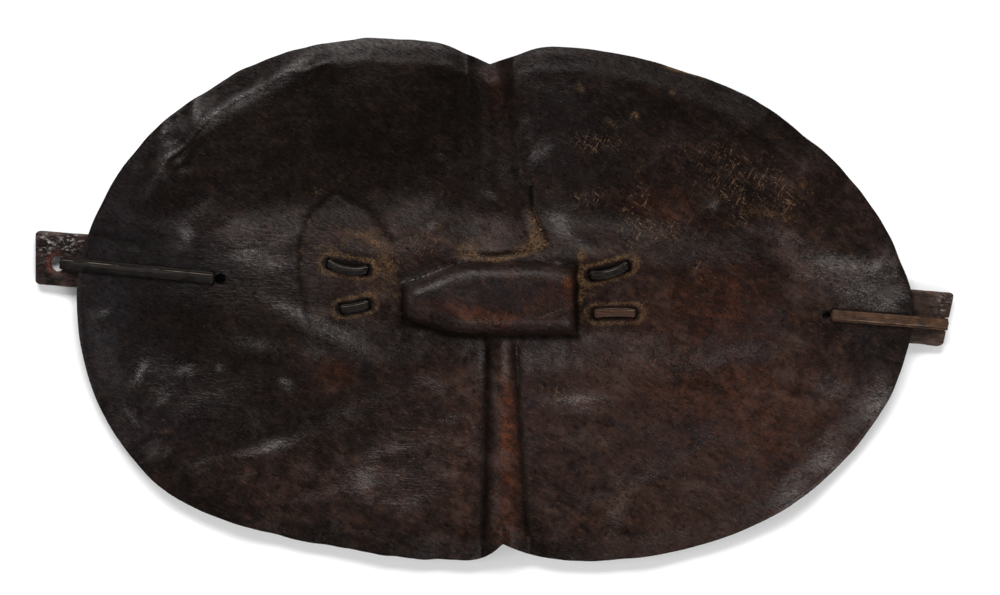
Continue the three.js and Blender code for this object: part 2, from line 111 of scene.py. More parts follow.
def catmull_rom(knots, count):
    """Points along a centripetal spline through the knots, the last knot left out."""
    knots = np.array(knots, float)
    knots = np.vstack([2 * knots[0] - knots[1], knots, 2 * knots[-1] - knots[-2]])
    points = []
    for p0, p1, p2, p3 in zip(knots, knots[1:], knots[2:], knots[3:]):
        gaps = [np.linalg.norm(b - a) ** 0.5 for a, b in ((p0, p1), (p1, p2), (p2, p3))]
        t1, t2 = gaps[0], gaps[0] + gaps[1]
        t3 = t2 + gaps[2]
        for t in np.linspace(t1, t2, count, endpoint=False):
            a1 = lerp(p0, p1, t / t1)
            a2 = lerp(p1, p2, (t - t1) / (t2 - t1))
            a3 = lerp(p2, p3, (t - t2) / (t3 - t2))
            b1 = lerp(a1, a2, t / t2)
            b2 = lerp(a2, a3, (t - t1) / (t3 - t1))
            points.append(lerp(b1, b2, (t - t1) / (t2 - t1)))
    return np.array(points)


half_size = np.array([HIDE_LENGTH / 2, HIDE_WIDTH / 2])
rim_line = np.vstack([catmull_rom(np.array(lobe) * half_size, 16) for lobe in (LEFT_LOBE, RIGHT_LOBE)])
rim_angle = np.arctan2(rim_line[:, 1], rim_line[:, 0])
rim_order = np.argsort(rim_angle)
# Waves of the cut rim: how many go round, where they start, height; they fade out at the notches
WAVES = [(19, 0.5, 0.45), (31, 1.9, 0.3), (47, 0.7, 0.2), (83, 2.6, 0.12)]
NOTCH_ANGLES = (1.59, -1.54)
NOTCH_CALM = 0.09


def rim_reach(x, y):
    """Distance from the middle to the knife-cut, slightly wavy rim, in the direction of each point."""
    radius = np.hypot(rim_line[:, 0], rim_line[:, 1])
    angle = np.arctan2(y, x)
    reach = np.interp(angle, rim_angle[rim_order], radius[rim_order], period=2 * math.pi)
    to_notch = np.minimum(np.abs(angle - NOTCH_ANGLES[0]), np.abs(angle - NOTCH_ANGLES[1]))
    steady = 1 - np.exp(-((to_notch / NOTCH_CALM) ** 2))
    swell = 1 + 0.6 * np.sin(3 * angle + 1)
    waves = sum(height * np.sin(turns * angle + start) for turns, start, height in WAVES)
    return reach + steady * (swell * waves - 0.3)


def value_noise(x, y, cell, seed):
    """Smooth noise from -1 to 1 whose bumps are about one cell wide."""
    lattice = np.random.RandomState(seed).uniform(-1, 1, (256, 256))
    cx, cy = x / cell + 128, y / cell + 128
    ix, iy = np.floor(cx).astype(int), np.floor(cy).astype(int)
    fx, fy = ease(0, 1, cx - ix), ease(0, 1, cy - iy)
    rows = [lerp(lattice[j % 256, ix % 256], lattice[j % 256, (ix + 1) % 256], fx) for j in (iy, iy + 1)]
    return lerp(rows[0], rows[1], fy)


def spot(x, y, at, spread, turn=0):
    """A soft round or long patch, 1 at its middle."""
    c, s = math.cos(math.radians(turn)), math.sin(math.radians(turn))
    dx, dy = x - at[0], y - at[1]
    along, across = dx * c + dy * s, dy * c - dx * s
    return np.exp(-((along / spread[0]) ** 2 + (across / spread[1]) ** 2) / 2)


def near_line(x, y, points):
    """Distance from each place to a bent line."""
    nearest = np.full(np.shape(x), 1e9)
    for (ax, ay), (bx, by) in zip(points, points[1:]):
        squared = (bx - ax) ** 2 + (by - ay) ** 2
        share = np.clip(((x - ax) * (bx - ax) + (y - ay) * (by - ay)) / squared, 0, 1)
        nearest = np.minimum(nearest, np.hypot(x - lerp(ax, bx, share), y - lerp(ay, by, share)))
    return nearest


# Boss: its foot in plan, how it narrows to the left, how far each rounded wall runs, and its height
BOSS_LEFT, BOSS_RIGHT, BOSS_TOP, BOSS_BOTTOM = -92, 81, 38, -36
BOSS_NOSE = {"top": (20, 72), "bottom": (13, 60)}
BOSS_SHOULDER = 5
BOSS_WALLS = {"left": 16, "right": 13, "top": 21, "bottom": 27}
BOSS_ROUND = 3
BOSS_HEIGHT, BOSS_CROWN = 28, 4


def boss_edges(x):
    """Upper and lower edge of the boss's foot along X."""
    top, bottom = ((1 - ease(0, run, x - BOSS_LEFT)) * draw for draw, run in BOSS_NOSE.values())
    return BOSS_TOP - top - BOSS_SHOULDER * ease(BOSS_RIGHT / 2, BOSS_RIGHT, x), BOSS_BOTTOM + bottom


def boss_rise(x, y):
    top, bottom = boss_edges(x)
    wall = 1
    for share in ((x - BOSS_LEFT) / BOSS_WALLS["left"], (BOSS_RIGHT - x) / BOSS_WALLS["right"],
                  (top - y) / BOSS_WALLS["top"], (y - bottom) / BOSS_WALLS["bottom"]):
        inside = 1 - np.clip(share, 0, 1)
        wall = wall * (1 - inside ** BOSS_ROUND) ** (1 / BOSS_ROUND) * ease(0, 0.2, share)
    across = (2 * y - top - bottom) / (top - bottom)
    return wall * (BOSS_HEIGHT + BOSS_CROWN * (1 - across ** 2))


UPPER_RIB = {"foot": 40, "middle": (8, -5), "half": (25, 24), "height": (10, 13), "flare": 15,
             "flare_reach": 13, "toe": 7}
LOWER_RIB = {"foot": 40, "middle": (6, 10.5), "half": (15, 24), "height": (9, 14), "flare": 3,
             "flare_reach": 6, "toe": 2}


def rib_parts(rib, x, out, reach):
    """How far a place is from the rib's crest, as a share of its half width, and its height."""
    along = np.clip((out - rib["foot"]) / (reach - rib["foot"]), 0, 1)
    from_foot = np.maximum(0, out - rib["foot"])
    half = lerp(*rib["half"], along) + rib["flare"] * np.exp(-from_foot / rib["flare_reach"])
    height = lerp(*rib["height"], along) - rib["toe"] * np.exp(-from_foot / (2 * rib["foot"]))
    side = (x - lerp(*rib["middle"], along)) / half
    return side, height * ease(0, rib["foot"], out)


def rib_rise(x, y):
    total = 0
    for rib, out, reach in ((UPPER_RIB, y, TOP_NOTCH[1]), (LOWER_RIB, -y, -BOTTOM_NOTCH[1])):
        side, height = rib_parts(rib, x, out, reach * HIDE_WIDTH / 2)
        round_top = height * np.clip(1 - side * side, 0, 1) ** 1.3
        total = total + np.where(np.abs(side) < 1, round_top, 0) * (out > 0)
    return total


SWELLINGS = [
    ((-150, 14), (34, 28), 5), ((116, 8), (28, 27), 5), ((-215, 34), (62, 30), 6),
    ((-66, 74), (24, 18), 6), ((92, 50), (30, 15), 6), ((372, 18), (38, 15), 5),
    ((-192, -36), (34, 11), 5), ((-126, -196), (20, 15), 5), ((-345, -88), (15, 14), 4),
    ((-310, 58), (13, 14), 4), ((-330, 118), (14, 22), 4), ((-256, 44), (18, 14), 3),
    ((98, -104), (36, 10), 3), ((-60, -90), (24, 16), 3), ((28, 168), (9, 28), 3),
    ((222, 88), (11, 9), 2.5), ((-30, 50), (9, 8), -3), ((46, 58), (7, 12), -3),
]


def dish_front(x, y):
    share = np.hypot(x, y) / rim_reach(x, y)
    dish = DISH_LIFT + RIM_RISE * ease(*DISH_SHARES, share) - RIM_ROLL * ease(DISH_SHARES[1], 1, share) ** 1.3
    off_stave = np.maximum(0, np.abs(y - stave_y(x)) - STAVE_WIDTH / 2)
    return HIDE_THICKNESS + lerp(dish, bed_z(x) + REST_GAP, np.exp(-((off_stave / MOUND_REACH) ** 2)))


def hide_form(x, y):
    """Height of the moulded front over the floor, without its small marks."""
    off_stave = ease(STAVE_WIDTH / 2, STAVE_WIDTH, np.abs(y - stave_y(x)))
    soft = 1.3 * off_stave * (
        np.sin(x / 31 + 1.3 * np.sin(y / 47)) * np.sin(y / 26 + 0.8)
        + 0.6 * np.sin(x / 17 - y / 23) * np.sin(x / 53 + y / 19))
    for at, spread, height in SWELLINGS:
        rise = height * spot(x, y, at, spread)
        soft = soft + (rise * off_stave if height < 0 else rise)
    boss = boss_rise(x, y)
    calm = 1 - ease(0, BOSS_HEIGHT, boss)
    return dish_front(x, y) + (soft + rib_rise(x, y)) * calm + boss


# Small lumps and dents: place, spread, turn in degrees, height before the gain, and how rubbed it is
LUMP_GAIN = 1.4
LUMPS = [
   
    # along the rolled rim at the upper left
    ((-209, 231), (14, 4), 34, 1.8, 0.9), ((-257, 201), (14, 4.5), 28, 2.2, 1.0),
    ((-301, 191), (4, 9), -8, 1.6, 0.8), ((-284, 184), (10, 6), 30, 1.3, 0.7),
    ((-335, 165), (7, 4), 45, 1.2, 0.4), ((-330, 144), (9, 4), 40, 1.5, 0.6),
    ((-332, 124), (6, 6), 30, 1.5, 0.6), ((-346, 108), (5, 8), -20, 1.2, 0.4),
    ((-369, 75), (8, 8), 0, 1.0, 0.3), ((-318, 158), (6, 4), 30, -1.3, 0.0),
    ((-312, 134), (8, 5), 30, -1.2, 0.0), ((-278, 200), (5, 8), 10, -1.0, 0.0),
    ((-230, 212), (5, 5), 30, -1.2, 0.0), ((-190, 236), (6, 4), 30, -0.9, 0.0),
    ((-256, 214), (5, 4), 30, -1.0, 0.0),
    # over the left half of the stave
    ((-309, 54), (6, 8), 10, 1.6, 0.7), ((-252, 42), (12, 5), 12, 1.5, 0.8),
    ((-213, 58), (14, 5), 20, 1.4, 0.5), ((-228, 34), (18, 7), 5, 1.0, 0.6),
    ((-190, 74), (18, 8), 15, 1.0, 0.4), ((-236, 56), (4, 7), 30, -0.9, 0.0),
    ((-262, 30), (8, 4), 0, -0.8, 0.0), ((-393, -16), (8, 5), 10, 1.2, 0.5),
    ((-200, 46), (5, 6), 20, -0.8, 0.0),
    # the fold below the left lashings
    ((-204, -15), (18, 5), -26, 1.9, 1.0), ((-164, -34), (26, 8), -26, 2.0, 0.8),
    ((-244, -43), (15, 4.5), -8, 1.6, 0.7), ((-186, -24), (5, 4), -30, -0.6, 0.0),
    ((-210, -86), (6, 4), -20, 1.5, 0.8), ((-276, -70), (3, 3), 0, 1.0, 0.8),
    # lumps, folds and the torn place at the lower left
    ((-357, -79), (3, 9), -28, 1.9, 0.9), ((-310, -74), (8, 4), 15, 1.1, 0.5),
    ((-335, -97), (12, 3.5), 35, 1.2, 0.4), ((-344, -86), (4, 6), -30, -1.6, 0.0),
    ((-356, -122), (4, 12), 28, -2.0, 0.0), ((-364, -118), (3, 11), 28, 1.2, 0.8),
    ((-338, -156), (11, 4), 32, 1.5, 0.7), ((-345, -142), (8, 4), 30, -1.2, 0.0),
    ((-300, -170), (16, 3.5), 24, 1.1, 0.15), ((-256, -160), (34, 5), 11, 0.9, 0.1),
    ((-222, -150), (13, 6), 12, 1.2, 0.6), ((-260, -172), (30, 5), 10, -0.9, 0.0),
    ((-130, -189), (8, 13), -28, 1.4, 0.5), ((-100, -155), (26, 5), 12, 0.9, 0.3),
    ((-117, -200), (5, 8), -28, -1.0, 0.0), ((-44, -122), (8, 4), 0, 1.3, 0.6),
    ((-60, -89), (9, 5), -10, 1.3, 0.6), ((-87, -207), (20, 7), 12, 1.0, 0.5),
    ((-186, -176), (5, 9), -10, 1.1, 0.5), ((-180, -200), (22, 5), 10, 0.8, 0.4),
    ((-240, -120), (24, 9), 15, 0.8, 0.3),
    # beside the upper rib and the boss
    ((68, 71), (9, 6), -45, 1.8, 1.0), ((88, 56), (10, 5), -40, 1.5, 0.8),
    ((33, 172), (5, 16), 5, 1.4, 0.5), ((46, 153), (11, 4), 32, 1.4, 0.6),
    ((-54, 143), (4, 2.5), -20, 1.2, 0.8), ((-4, 103), (9, 3), -30, 1.4, 1.0),
    ((-62, 72), (12, 5), 35, 1.2, 0.5), ((-84, 82), (16, 6), 30, 0.9, 0.4),
    ((60, 205), (16, 8), -10, 0.8, 0.3),
    # at the right end and over the right half
    ((324, 36), (22, 7), -22, 1.8, 1.0), ((356, 22), (18, 8), -18, 1.6, 1.0),
    ((392, 4), (9, 14), -20, 1.6, 1.0), ((386, 30), (9, 6), 30, 1.3, 0.6),
    ((360, 18), (4, 4), 0, -1.0, 0.0), ((300, 58), (20, 6), -15, 0.9, 0.4),
    ((220, 91), (4, 3.5), 0, 1.3, 1.0), ((118, 150), (9, 5), 10, 0.8, 0.4),
    ((146, 68), (16, 7), -20, 0.6, 0.2), ((268, 66), (26, 7), -12, 0.8, 0.3),
    ((84, -106), (24, 5.5), 4, 1.3, 0.6), ((122, -220), (5, 14), -32, 1.3, 0.7),
    ((112, -214), (4, 11), -32, -1.1, 0.0), ((337, -88), (14, 9), -20, 0.9, 0.6),
    ((384, -100), (6, 10), -20, 0.9, 0.7), ((334, -158), (12, 7), 35, 1.0, 0.7),
    ((294, -192), (13, 8), 35, 1.0, 0.7), ((200, -200), (34, 9), 10, 0.6, 0.3),
    ((232, -96), (9, 6), 20, -0.8, 0.0), ((210, -130), (10, 6), 10, -0.9, 0.0),
    ((150, -140), (26, 7), -30, 0.6, 0.2),
]

# Ridges and creases: points, half width, height; the ones below zero also get painted shade in their colour
CREASES = [
    # crest of the rolled rim at the upper left
    ([(-340, 126), (-318, 146), (-291, 176), (-267, 197), (-230, 214), (-202, 228), (-168, 238)], 7, 2.2),
    # a fold that runs round the left lashings
    ([(-104, 60), (-126, 90), (-160, 109), (-184, 88), (-194, 60), (-196, 30), (-192, 0), (-186, -22)],
     3.4, -1.4),
    # the rim folded over at the left end of the stave
    ([(-416, 66), (-380, 62), (-352, 52)], 5, -0.8),
    # beside the upper rib
    ([(36, 113), (37, 88), (51, 60)], 2.2, -2.0),
    ([(-28, 216), (-25, 160), (-20, 112)], 6.0, -0.6),
    ([(14, 232), (18, 180), (26, 130)], 5.0, -0.6),
    ([(-36, 46), (0, 43), (33, 48), (50, 53)], 2.0, -1.6),
    # beside the lower rib
    ([(-8, -48), (-9, -100), (-10, -170), (-12, -238)], 4.2, -1.6),
    ([(20, -48), (24, -100), (29, -170), (33, -234)], 3.0, -1.4),
]

# The crack at the right end of the boss, and the fine unevenness: cell, seed, height
CRACK = [(66, 0), (77, -8), (62, -13), (49, -18)]
CRACK_DEPTH, CRACK_HALF_WIDTH = 0.9, 1.5
UNEVENNESS = [(21, 3, 0.55), (9, 5, 0.3), (4.5, 7, 0.12)]


def hide_marks(x, y):
    """Small relief: lumps, dents, ridges, creases, the crack in the boss and fine unevenness."""
    marks = sum(height * value_noise(x, y, cell, seed) for cell, seed, height in UNEVENNESS)
    for at, spread, turn, height, _ in LUMPS:
        marks = marks + LUMP_GAIN * height * spot(x, y, at, spread, turn)
    boss = ease(0, 12, boss_rise(x, y))
    marks = marks * (1 - 0.55 * boss)
    for points, width, height in CREASES:
        marks = marks + height * np.exp(-((near_line(x, y, points) / width) ** 2)) * (1 - boss)
    return marks - CRACK_DEPTH * np.exp(-((near_line(x, y, CRACK) / CRACK_HALF_WIDTH) ** 2))


def hide_front(x, y):
    edge = rim_reach(x, y) - np.hypot(x, y)
    rounding = 1.1 * (1 - ease(-1, 4, edge))
    return hide_form(x, y) + hide_marks(x, y) - rounding


def hide_back(x, y):
    """The back lies one thickness behind the front, measured square to it."""
    lowest = hide_form(x, y) - HIDE_THICKNESS
    for share in (0.4, 0.75, 0.95):
        out = share * HIDE_THICKNESS
        for angle in np.arange(8) * math.pi / 4:
            there = hide_form(x + out * math.cos(angle), y + out * math.sin(angle))
            lowest = np.minimum(lowest, there - math.sqrt(HIDE_THICKNESS ** 2 - out ** 2))
    return lowest + 0.25 * value_noise(x, y, 14, 11) * (lowest > 1)


HIDE_COLUMNS, HIDE_ROWS = 330, 220
FINENESS = 0.45  # how much finer the steps are at the middle of the sheet and along its rim


def sheet_points():
    """A square grid laid over the oval plan of the hide, finer at the middle and the rim."""
    def lines(count):
        t = np.linspace(-1, 1, count + 1)
        return t - FINENESS * np.sin(2 * math.pi * t) / (2 * math.pi)
    u, v = np.meshgrid(lines(HIDE_COLUMNS), lines(HIDE_ROWS))
    disc_x, disc_y = u * np.sqrt(1 - v * v / 2), v * np.sqrt(1 - u * u / 2)
    x, y = disc_x * half_size[0], disc_y * half_size[1]
    share = np.maximum(np.hypot(disc_x, disc_y), 1e-9)
    stretch = rim_reach(x, y) * share / np.maximum(np.hypot(x, y), 1e-9)
    blend = lerp(1, stretch, share ** 3)
    return x * blend, y * blend


def new_object(name, vertices, faces):
    mesh = bpy.data.meshes.new(name)
    mesh.from_pydata(vertices, [], faces)
    mesh.validate()
    obj = bpy.data.objects.new(name, mesh)
    bpy.context.scene.collection.objects.link(obj)
    return obj


def sheet_mesh():
    x, y = sheet_points()
    rows, columns = x.shape
    front = np.stack([x, y, hide_front(x, y)], -1).reshape(-1, 3)
    back_x, back_y = x[::2, ::2], y[::2, ::2]
    back = np.stack([back_x, back_y, hide_back(back_x, back_y)], -1).reshape(-1, 3)
    back_rows, back_columns = back_x.shape
    faces = []
    for j in range(rows - 1):
        for a in range(j * columns, (j + 1) * columns - 1):
            faces.append((a, a + 1, a + columns + 1, a + columns))
    first = len(front)
    for j in range(back_rows - 1):
        for a in range(first + j * back_columns, first + (j + 1) * back_columns - 1):
            faces.append((a, a + back_columns, a + back_columns + 1, a + 1))

    def front_at(j, i):
        return j * columns + i

    def back_at(j, i):
        return first + (j // 2) * back_columns + i // 2

    border = [(0, i) for i in range(0, columns - 1)] + [(j, columns - 1) for j in range(0, rows - 1)]
    border += [(rows - 1, i) for i in range(columns - 1, 0, -1)] + [(j, 0) for j in range(rows - 1, 0, -1)]
    for k in range(0, len(border), 2):
        a, b, c = border[k], border[k + 1], border[(k + 2) % len(border)]
        faces.append((back_at(*a), back_at(*c), front_at(*c), front_at(*b), front_at(*a)))
    return np.vstack([front, back]) * MM, faces


def mark_sharp(obj, degrees):
    """Smooth shading, with hard edges where two faces meet at more than the given angle."""
    obj.data.shade_smooth()
    obj.data.set_sharp_from_angle(angle=math.radians(degrees))


def slot_outline(place, turn, width, thickness):
    """Plan of a slot with round ends, long across the thong's direction."""
    half, end = width / 2, thickness / 2
    points = []
    for side in (1, -1):
        for angle in np.linspace(0, math.pi, 9):
            px = end * math.cos(angle) * side
            py = (half - end + end * math.sin(angle)) * side
            points.append((place[0] + px * math.cos(turn) - py * math.sin(turn),
                           place[1] + px * math.sin(turn) + py * math.cos(turn)))
    return points


def disc_outline(place, radius, count=28):
    return [(place[0] + radius * math.cos(a), place[1] + radius * math.sin(a))
            for a in np.arange(count) * 2 * math.pi / count]


def cut_through(obj, outlines, low=-60, high=120):
    """Cuts upright prisms of the given plans out of a piece."""
    vertices, faces = [], []
    for outline in outlines:
        start, count = len(vertices), len(outline)
        vertices += [(px * MM, py * MM, low * MM) for px, py in outline]
        vertices += [(px * MM, py * MM, high * MM) for px, py in outline]
        faces.append(tuple(range(start + count - 1, start - 1, -1)))
        faces.append(tuple(range(start + count, start + 2 * count)))
        for k in range(count):
            nxt = (k + 1) % count
            faces.append((start + k, start + nxt, start + count + nxt, start + count + k))
    cutter = new_object("cutter", vertices, faces)
    cut = obj.modifiers.new("cut", "BOOLEAN")
    cut.object, cut.operation, cut.solver = cutter, "DIFFERENCE", "EXACT"
    bake(obj)
    bpy.data.objects.remove(cutter)


def bake(obj):
    """Turns what the modifiers give into the plain mesh of the piece."""
    result = bpy.data.meshes.new_from_object(obj.evaluated_get(bpy.context.evaluated_depsgraph_get()))
    obj.modifiers.clear()
    obj.data = result
    result.name = obj.name


def plan_turn(start, end):
    return math.atan2(end[1] - start[1], end[0] - start[0])


STAVE_END_SLANT = 12


def stave_end_x(y):
    """The slanting right end of the stave."""
    low = stave_y(STAVE_LENGTH / 2) - STAVE_WIDTH / 2
    return STAVE_LENGTH / 2 - STAVE_END_SLANT * (1 - (y - low) / STAVE_WIDTH)


# Thongs and their slots, in plan
SLOT_GAP = 0.8
END_THONG_WIDTH, END_THONG_THICKNESS = 12, 3
LASHING_WIDTH, LASHING_THICKNESS = 10, 2.8
END_LIFT = 0.6 + END_THONG_THICKNESS / 2
TAB_HOLE, TAB_HOLE_RADIUS = (-439, 36.5), 8
HIDE_HOLE_RADIUS = 5.7
RIGHT_NOTCH_Y, RIGHT_NOTCH_DEPTH = -25, 3
TAB_HOLE_REACH = math.sqrt(TAB_HOLE_RADIUS ** 2 - (END_THONG_WIDTH / 2) ** 2)
LEFT_OUTER = (TAB_HOLE[0] + TAB_HOLE_REACH - END_LIFT, TAB_HOLE[1])
RIGHT_OUTER = (stave_end_x(RIGHT_NOTCH_Y) - RIGHT_NOTCH_DEPTH + END_LIFT, RIGHT_NOTCH_Y)
END_THONGS = {
    "left": {"outer": LEFT_OUTER, "slot": (-282, 21.3), "hole": HIDE_HOLE_RADIUS},
    "right": {"outer": RIGHT_OUTER, "slot": (338, -15.6), "hole": 0.8 * HIDE_HOLE_RADIUS},
}
LASHINGS = {
    "left": {"upper": ((-166, 36), (-128, 29.5)), "lower": ((-153, -9.5), (-127, -4.5))},
    "right": {"upper": ((132, 34), (96, 24)), "lower": ((139, -13.5), (100, -14))},
}


def hide_cuts():
    cuts = []
    for thong in END_THONGS.values():
        turn = plan_turn(thong["outer"], thong["slot"])
        past = END_THONG_THICKNESS / 2 + SLOT_GAP + 0.9 * thong["hole"]
        hole = (thong["slot"][0] + past * math.cos(turn), thong["slot"][1] + past * math.sin(turn))
        cuts.append(slot_outline(thong["slot"], turn, END_THONG_WIDTH + 2 * SLOT_GAP,
                                 END_THONG_THICKNESS + 2 * SLOT_GAP))
        cuts.append(disc_outline(hole, thong["hole"]))
    for side in LASHINGS.values():
        for run in side.values():
            for place in run:
                cuts.append(slot_outline(place, plan_turn(*run), LASHING_WIDTH + 2 * SLOT_GAP,
                                         LASHING_THICKNESS + 2 * SLOT_GAP))
    return cuts


hide = new_object("hide_sheet", *sheet_mesh())
for outline in hide_cuts():
    cut_through(hide, [outline])
mark_sharp(hide, 50)


def add_attribute(obj, name, values):
    layer = obj.data.attributes.new(name, "FLOAT", "POINT")
    layer.data.foreach_set("value", np.clip(values, 0, 1).astype(np.float32))


def coordinates(obj):
    co = np.empty(len(obj.data.vertices) * 3, np.float32)
    obj.data.vertices.foreach_get("co", co)
    return (co.reshape(-1, 3) / MM).T.astype(float)


# Where the hide has changed colour: place, spread, turn in degrees, strength
WARM = [
    ((0, 0), (420, 262), 0, 0.28), ((180, -130), (150, 80), -10, 0.6), ((340, -20), (70, 110), 0, 0.35),
    ((60, -60), (90, 60), 0, 0.2), ((-120, 30), (70, 50), 0, 0.3), ((120, 10), (60, 60), 0, 0.1),
    ((20, 150), (24, 70), 0, 0.15), ((-60, -160), (90, 60), 10, 0.25), ((250, 110), (90, 60), -20, 0.2),
    ((-150, 160), (110, 50), 20, -0.12), ((100, 170), (60, 50), 0, -0.05), ((240, -220), (140, 30), 25, 0.3),
    ((-350, 20), (60, 60), 0, -0.15), ((-20, 60), (60, 14), 0, 0.2), ((-200, -195), (110, 34), -12, 0.45),
    ((170, -215), (100, 30), 10, 0.3), ((140, -30), (60, 30), 0, -0.2), ((250, 70), (60, 24), -10, -0.15),
]
RED_WEAR = [
    ((-26, -14), (18, 5), -14, 1.0), ((8, -20), (20, 4.5), -4, 0.9), ((44, -6), (14, 9), 40, 0.2),
    ((73, 16), (3.5, 9), 0, 1.0), ((62, 8), (9, 9), 0, 0.25), ((20, 18), (14, 7), 0, 0.12),
    ((11, -75), (5, 24), 0, 0.45), ((13, -122), (6, 24), -2, 1.0), ((14, -170), (7, 22), 0, 0.7),
    ((10, -220), (9, 22), 3, 0.5), ((1, 218), (7, 14), 0, 0.25), ((-160, -74), (14, 10), 20, 0.4),
    ((-38, -82), (14, 12), 0, 0.3), ((-30, -200), (11, 50), 0, 0.2), ((222, -2), (46, 24), 0, 0.35),
    ((260, -105), (60, 36), -30, 0.35), ((150, -60), (40, 30), 0, 0.2), ((170, 90), (24, 18), 0, 0.25),
    ((-255, 70), (30, 14), 0, 0.15),
]
DUST = [
    ((-112, 30), (9, 30), 10, 0.4), ((-140, 60), (30, 8), 14, 0.35), ((-140, 14), (24, 6), -8, 0.3),
    ((-178, 46), (10, 20), 0, 0.2), ((104, 48), (22, 4), 6, 0.5), ((140, 42), (7, 9), -30, 0.5),
    ((86, 30), (2.5, 16), 0, 0.6), ((92, 4), (8, 4), 20, 0.5), ((150, -10), (5, 12), 0, 0.3),
    ((-27, 50), (8, 7), -20, 1.2), ((40, 66), (5, 14), 12, 1.0), ((34, 54), (11, 4), 20, 1.0),
    ((14, -50), (20, 4), 5, 0.35), ((-62, 72), (16, 5), 35, 0.4), ((-190, 96), (34, 7), 40, 0.25),
    ((140, 184), (3, 3), 0, 0.9), ((178, 208), (3, 3), 0, 0.8), ((85, 213), (3, 4), 0, 0.6),
    ((116, 177), (9, 3), -20, 0.6), ((324, 70), (3, 3), 0, 0.6), ((292, 81), (4, 4), 0, 0.6),
    ((314, 108), (8, 14), 20, 0.35), ((262, 88), (18, 4), -8, 0.6), ((308, 114), (3, 3), 0, 0.7),
    ((-216, -10), (24, 8), 0, 0.15), ((-372, -160), (5, 9), 30, 0.3),
]
DUST_LINES = [
    ([(-104, 24), (-110, 50), (-128, 64), (-150, 68)], 5, 0.5),
    ([(-184, 86), (-192, 58), (-194, 30)], 3, 0.4),
    ([(-35, 44), (0, 40), (33, 46), (49, 54)], 3, 1.4),
    ([(36, 88), (42, 74), (50, 60)], 3, 0.7),
    ([(-96, 34), (-98, 0), (-90, -26)], 4, 0.3),
    ([(172, 234), (192, 229), (211, 223)], 2.4, 1.6),
    ([(-360, -110), (-350, -128), (-340, -133), (-322, -131)], 2.6, 0.35),
    ([(86, 44), (84, 20), (86, -22)], 3, 0.5),
]
SCRATCHED = [
    ((198, 149), (15, 5), -10, 1.0), ((208, 128), (5, 9), 0, 0.9), ((236, 137), (6, 16), 30, 1.0),
    ((277, 116), (13, 26), 38, 1.0), ((228, 110), (7, 7), 0, 1.0), ((243, 96), (5, 15), 10, 1.0),
    ((95, 102), (12, 7), 0, 0.7), ((138, 80), (8, 24), -10, 0.8), ((170, 68), (16, 7), 0, 0.8),
    ((100, 158), (22, 8), -10, 0.7), ((190, 100), (90, 50), -20, 0.3), ((206, 30), (6, 10), 20, 0.6),
    ((-84, 50), (26, 13), 30, 0.9), ((116, -208), (7, 15), -32, 0.9), ((60, -90), (24, 10), 0, 0.6),
    ((150, -60), (30, 12), 20, 0.5),
]
POLISH = [
    ((-30, 14), (60, 14), 0, 0.15), ((-68, 26), (17, 5), 14, 1.0), ((66, 32), (9, 3.5), 0, 1.2),
    ((8, 75), (15, 20), 0, 0.1), ((-240, 203), (40, 6), 33, 0.5), ((-225, 36), (60, 22), 0, 0.1),
    ((350, 22), (45, 16), -18, 1.0), ((-300, -90), (70, 60), 0, 0.15), ((390, -98), (12, 14), 20, 0.6),
    ((342, -88), (24, 10), -10, 0.4), ((340, -156), (14, 14), 40, 0.5), ((294, -194), (16, 14), 40, 0.6),
]
DULL = [
    ((170, 45), (110, 34), 0, 1.0), ((-385, 90), (26, 44), 0, 0.9), ((-100, 40), (60, 30), 0, 0.4),
    ((210, -110), (140, 80), 0, 0.3), ((230, 110), (90, 70), -20, 0.5), ((-120, 150), (90, 40), 0, 0.6),
    ((-200, -70), (90, 30), 0, 0.3), ((0, 200), (60, 50), 0, 0.3), ((-250, 100), (60, 25), 0, 0.5),
    ((120, 232), (60, 20), -8, 0.9), ((210, 205), (50, 22), -30, 1.0), ((300, 150), (50, 24), -48, 1.0),
    ((360, 90), (30, 26), -60, 0.5), ((-240, 228), (60, 9), 30, 0.8), ((-110, 235), (60, 12), 5, 0.7),
    ((8, 75), (18, 26), 0, 0.4), ((130, -240), (80, 22), 4, 0.9), ((240, -220), (50, 16), 28, 0.8),
    ((405, -60), (10, 40), 0, 0.7), ((350, -145), (14, 14), 40, 0.6), ((-80, -240), (90, 18), 0, 0.6),
    ((-120, 74), (64, 24), 5, 1.0), ((170, 56), (70, 20), 0, 0.6), ((0, 205), (34, 30), 0, 0.5),
]
WRINKLED = [
    ((-236, 18), (60, 26), -4, 1.0), ((-214, 54), (34, 14), 10, 0.8), ((-180, -20), (46, 14), -24, 0.6),
    ((350, 24), (44, 16), -18, 0.5), ((-60, -110), (50, 40), 10, 0.4), ((-110, -190), (40, 24), 0, 0.5),
    ((-300, -80), (60, 40), 0, 0.4), ((60, 200), (50, 40), 0, 0.3), ((-250, 205), (60, 16), 33, 0.6),
]
COOL = [
    ((-398, -20), (26, 50), 0, 1.0), ((-380, 70), (26, 40), 0, 0.7), ((-350, -110), (40, 40), 0, 0.5),
    ((-310, 40), (24, 24), 0, 0.6), ((-15, 6), (50, 16), 0, 0.8), ((40, -80), (14, 50), 0, 0.7),
    ((270, -20), (22, 14), 0, 0.7), ((210, -130), (20, 12), 0, 1.0), ((243, -171), (14, 12), 0, 0.9),
    ((171, -156), (14, 12), 0, 0.9), ((257, -54), (12, 8), 0, 0.9), ((218, -43), (12, 8), 0, 0.7),
    ((380, -60), (20, 50), 0, 0.5), ((300, -190), (60, 20), 35, 0.6), ((120, -120), (20, 50), -30, 0.4),
    ((-160, 20), (40, 14), 0, 0.5), ((60, 160), (26, 50), 0, 0.4),
]


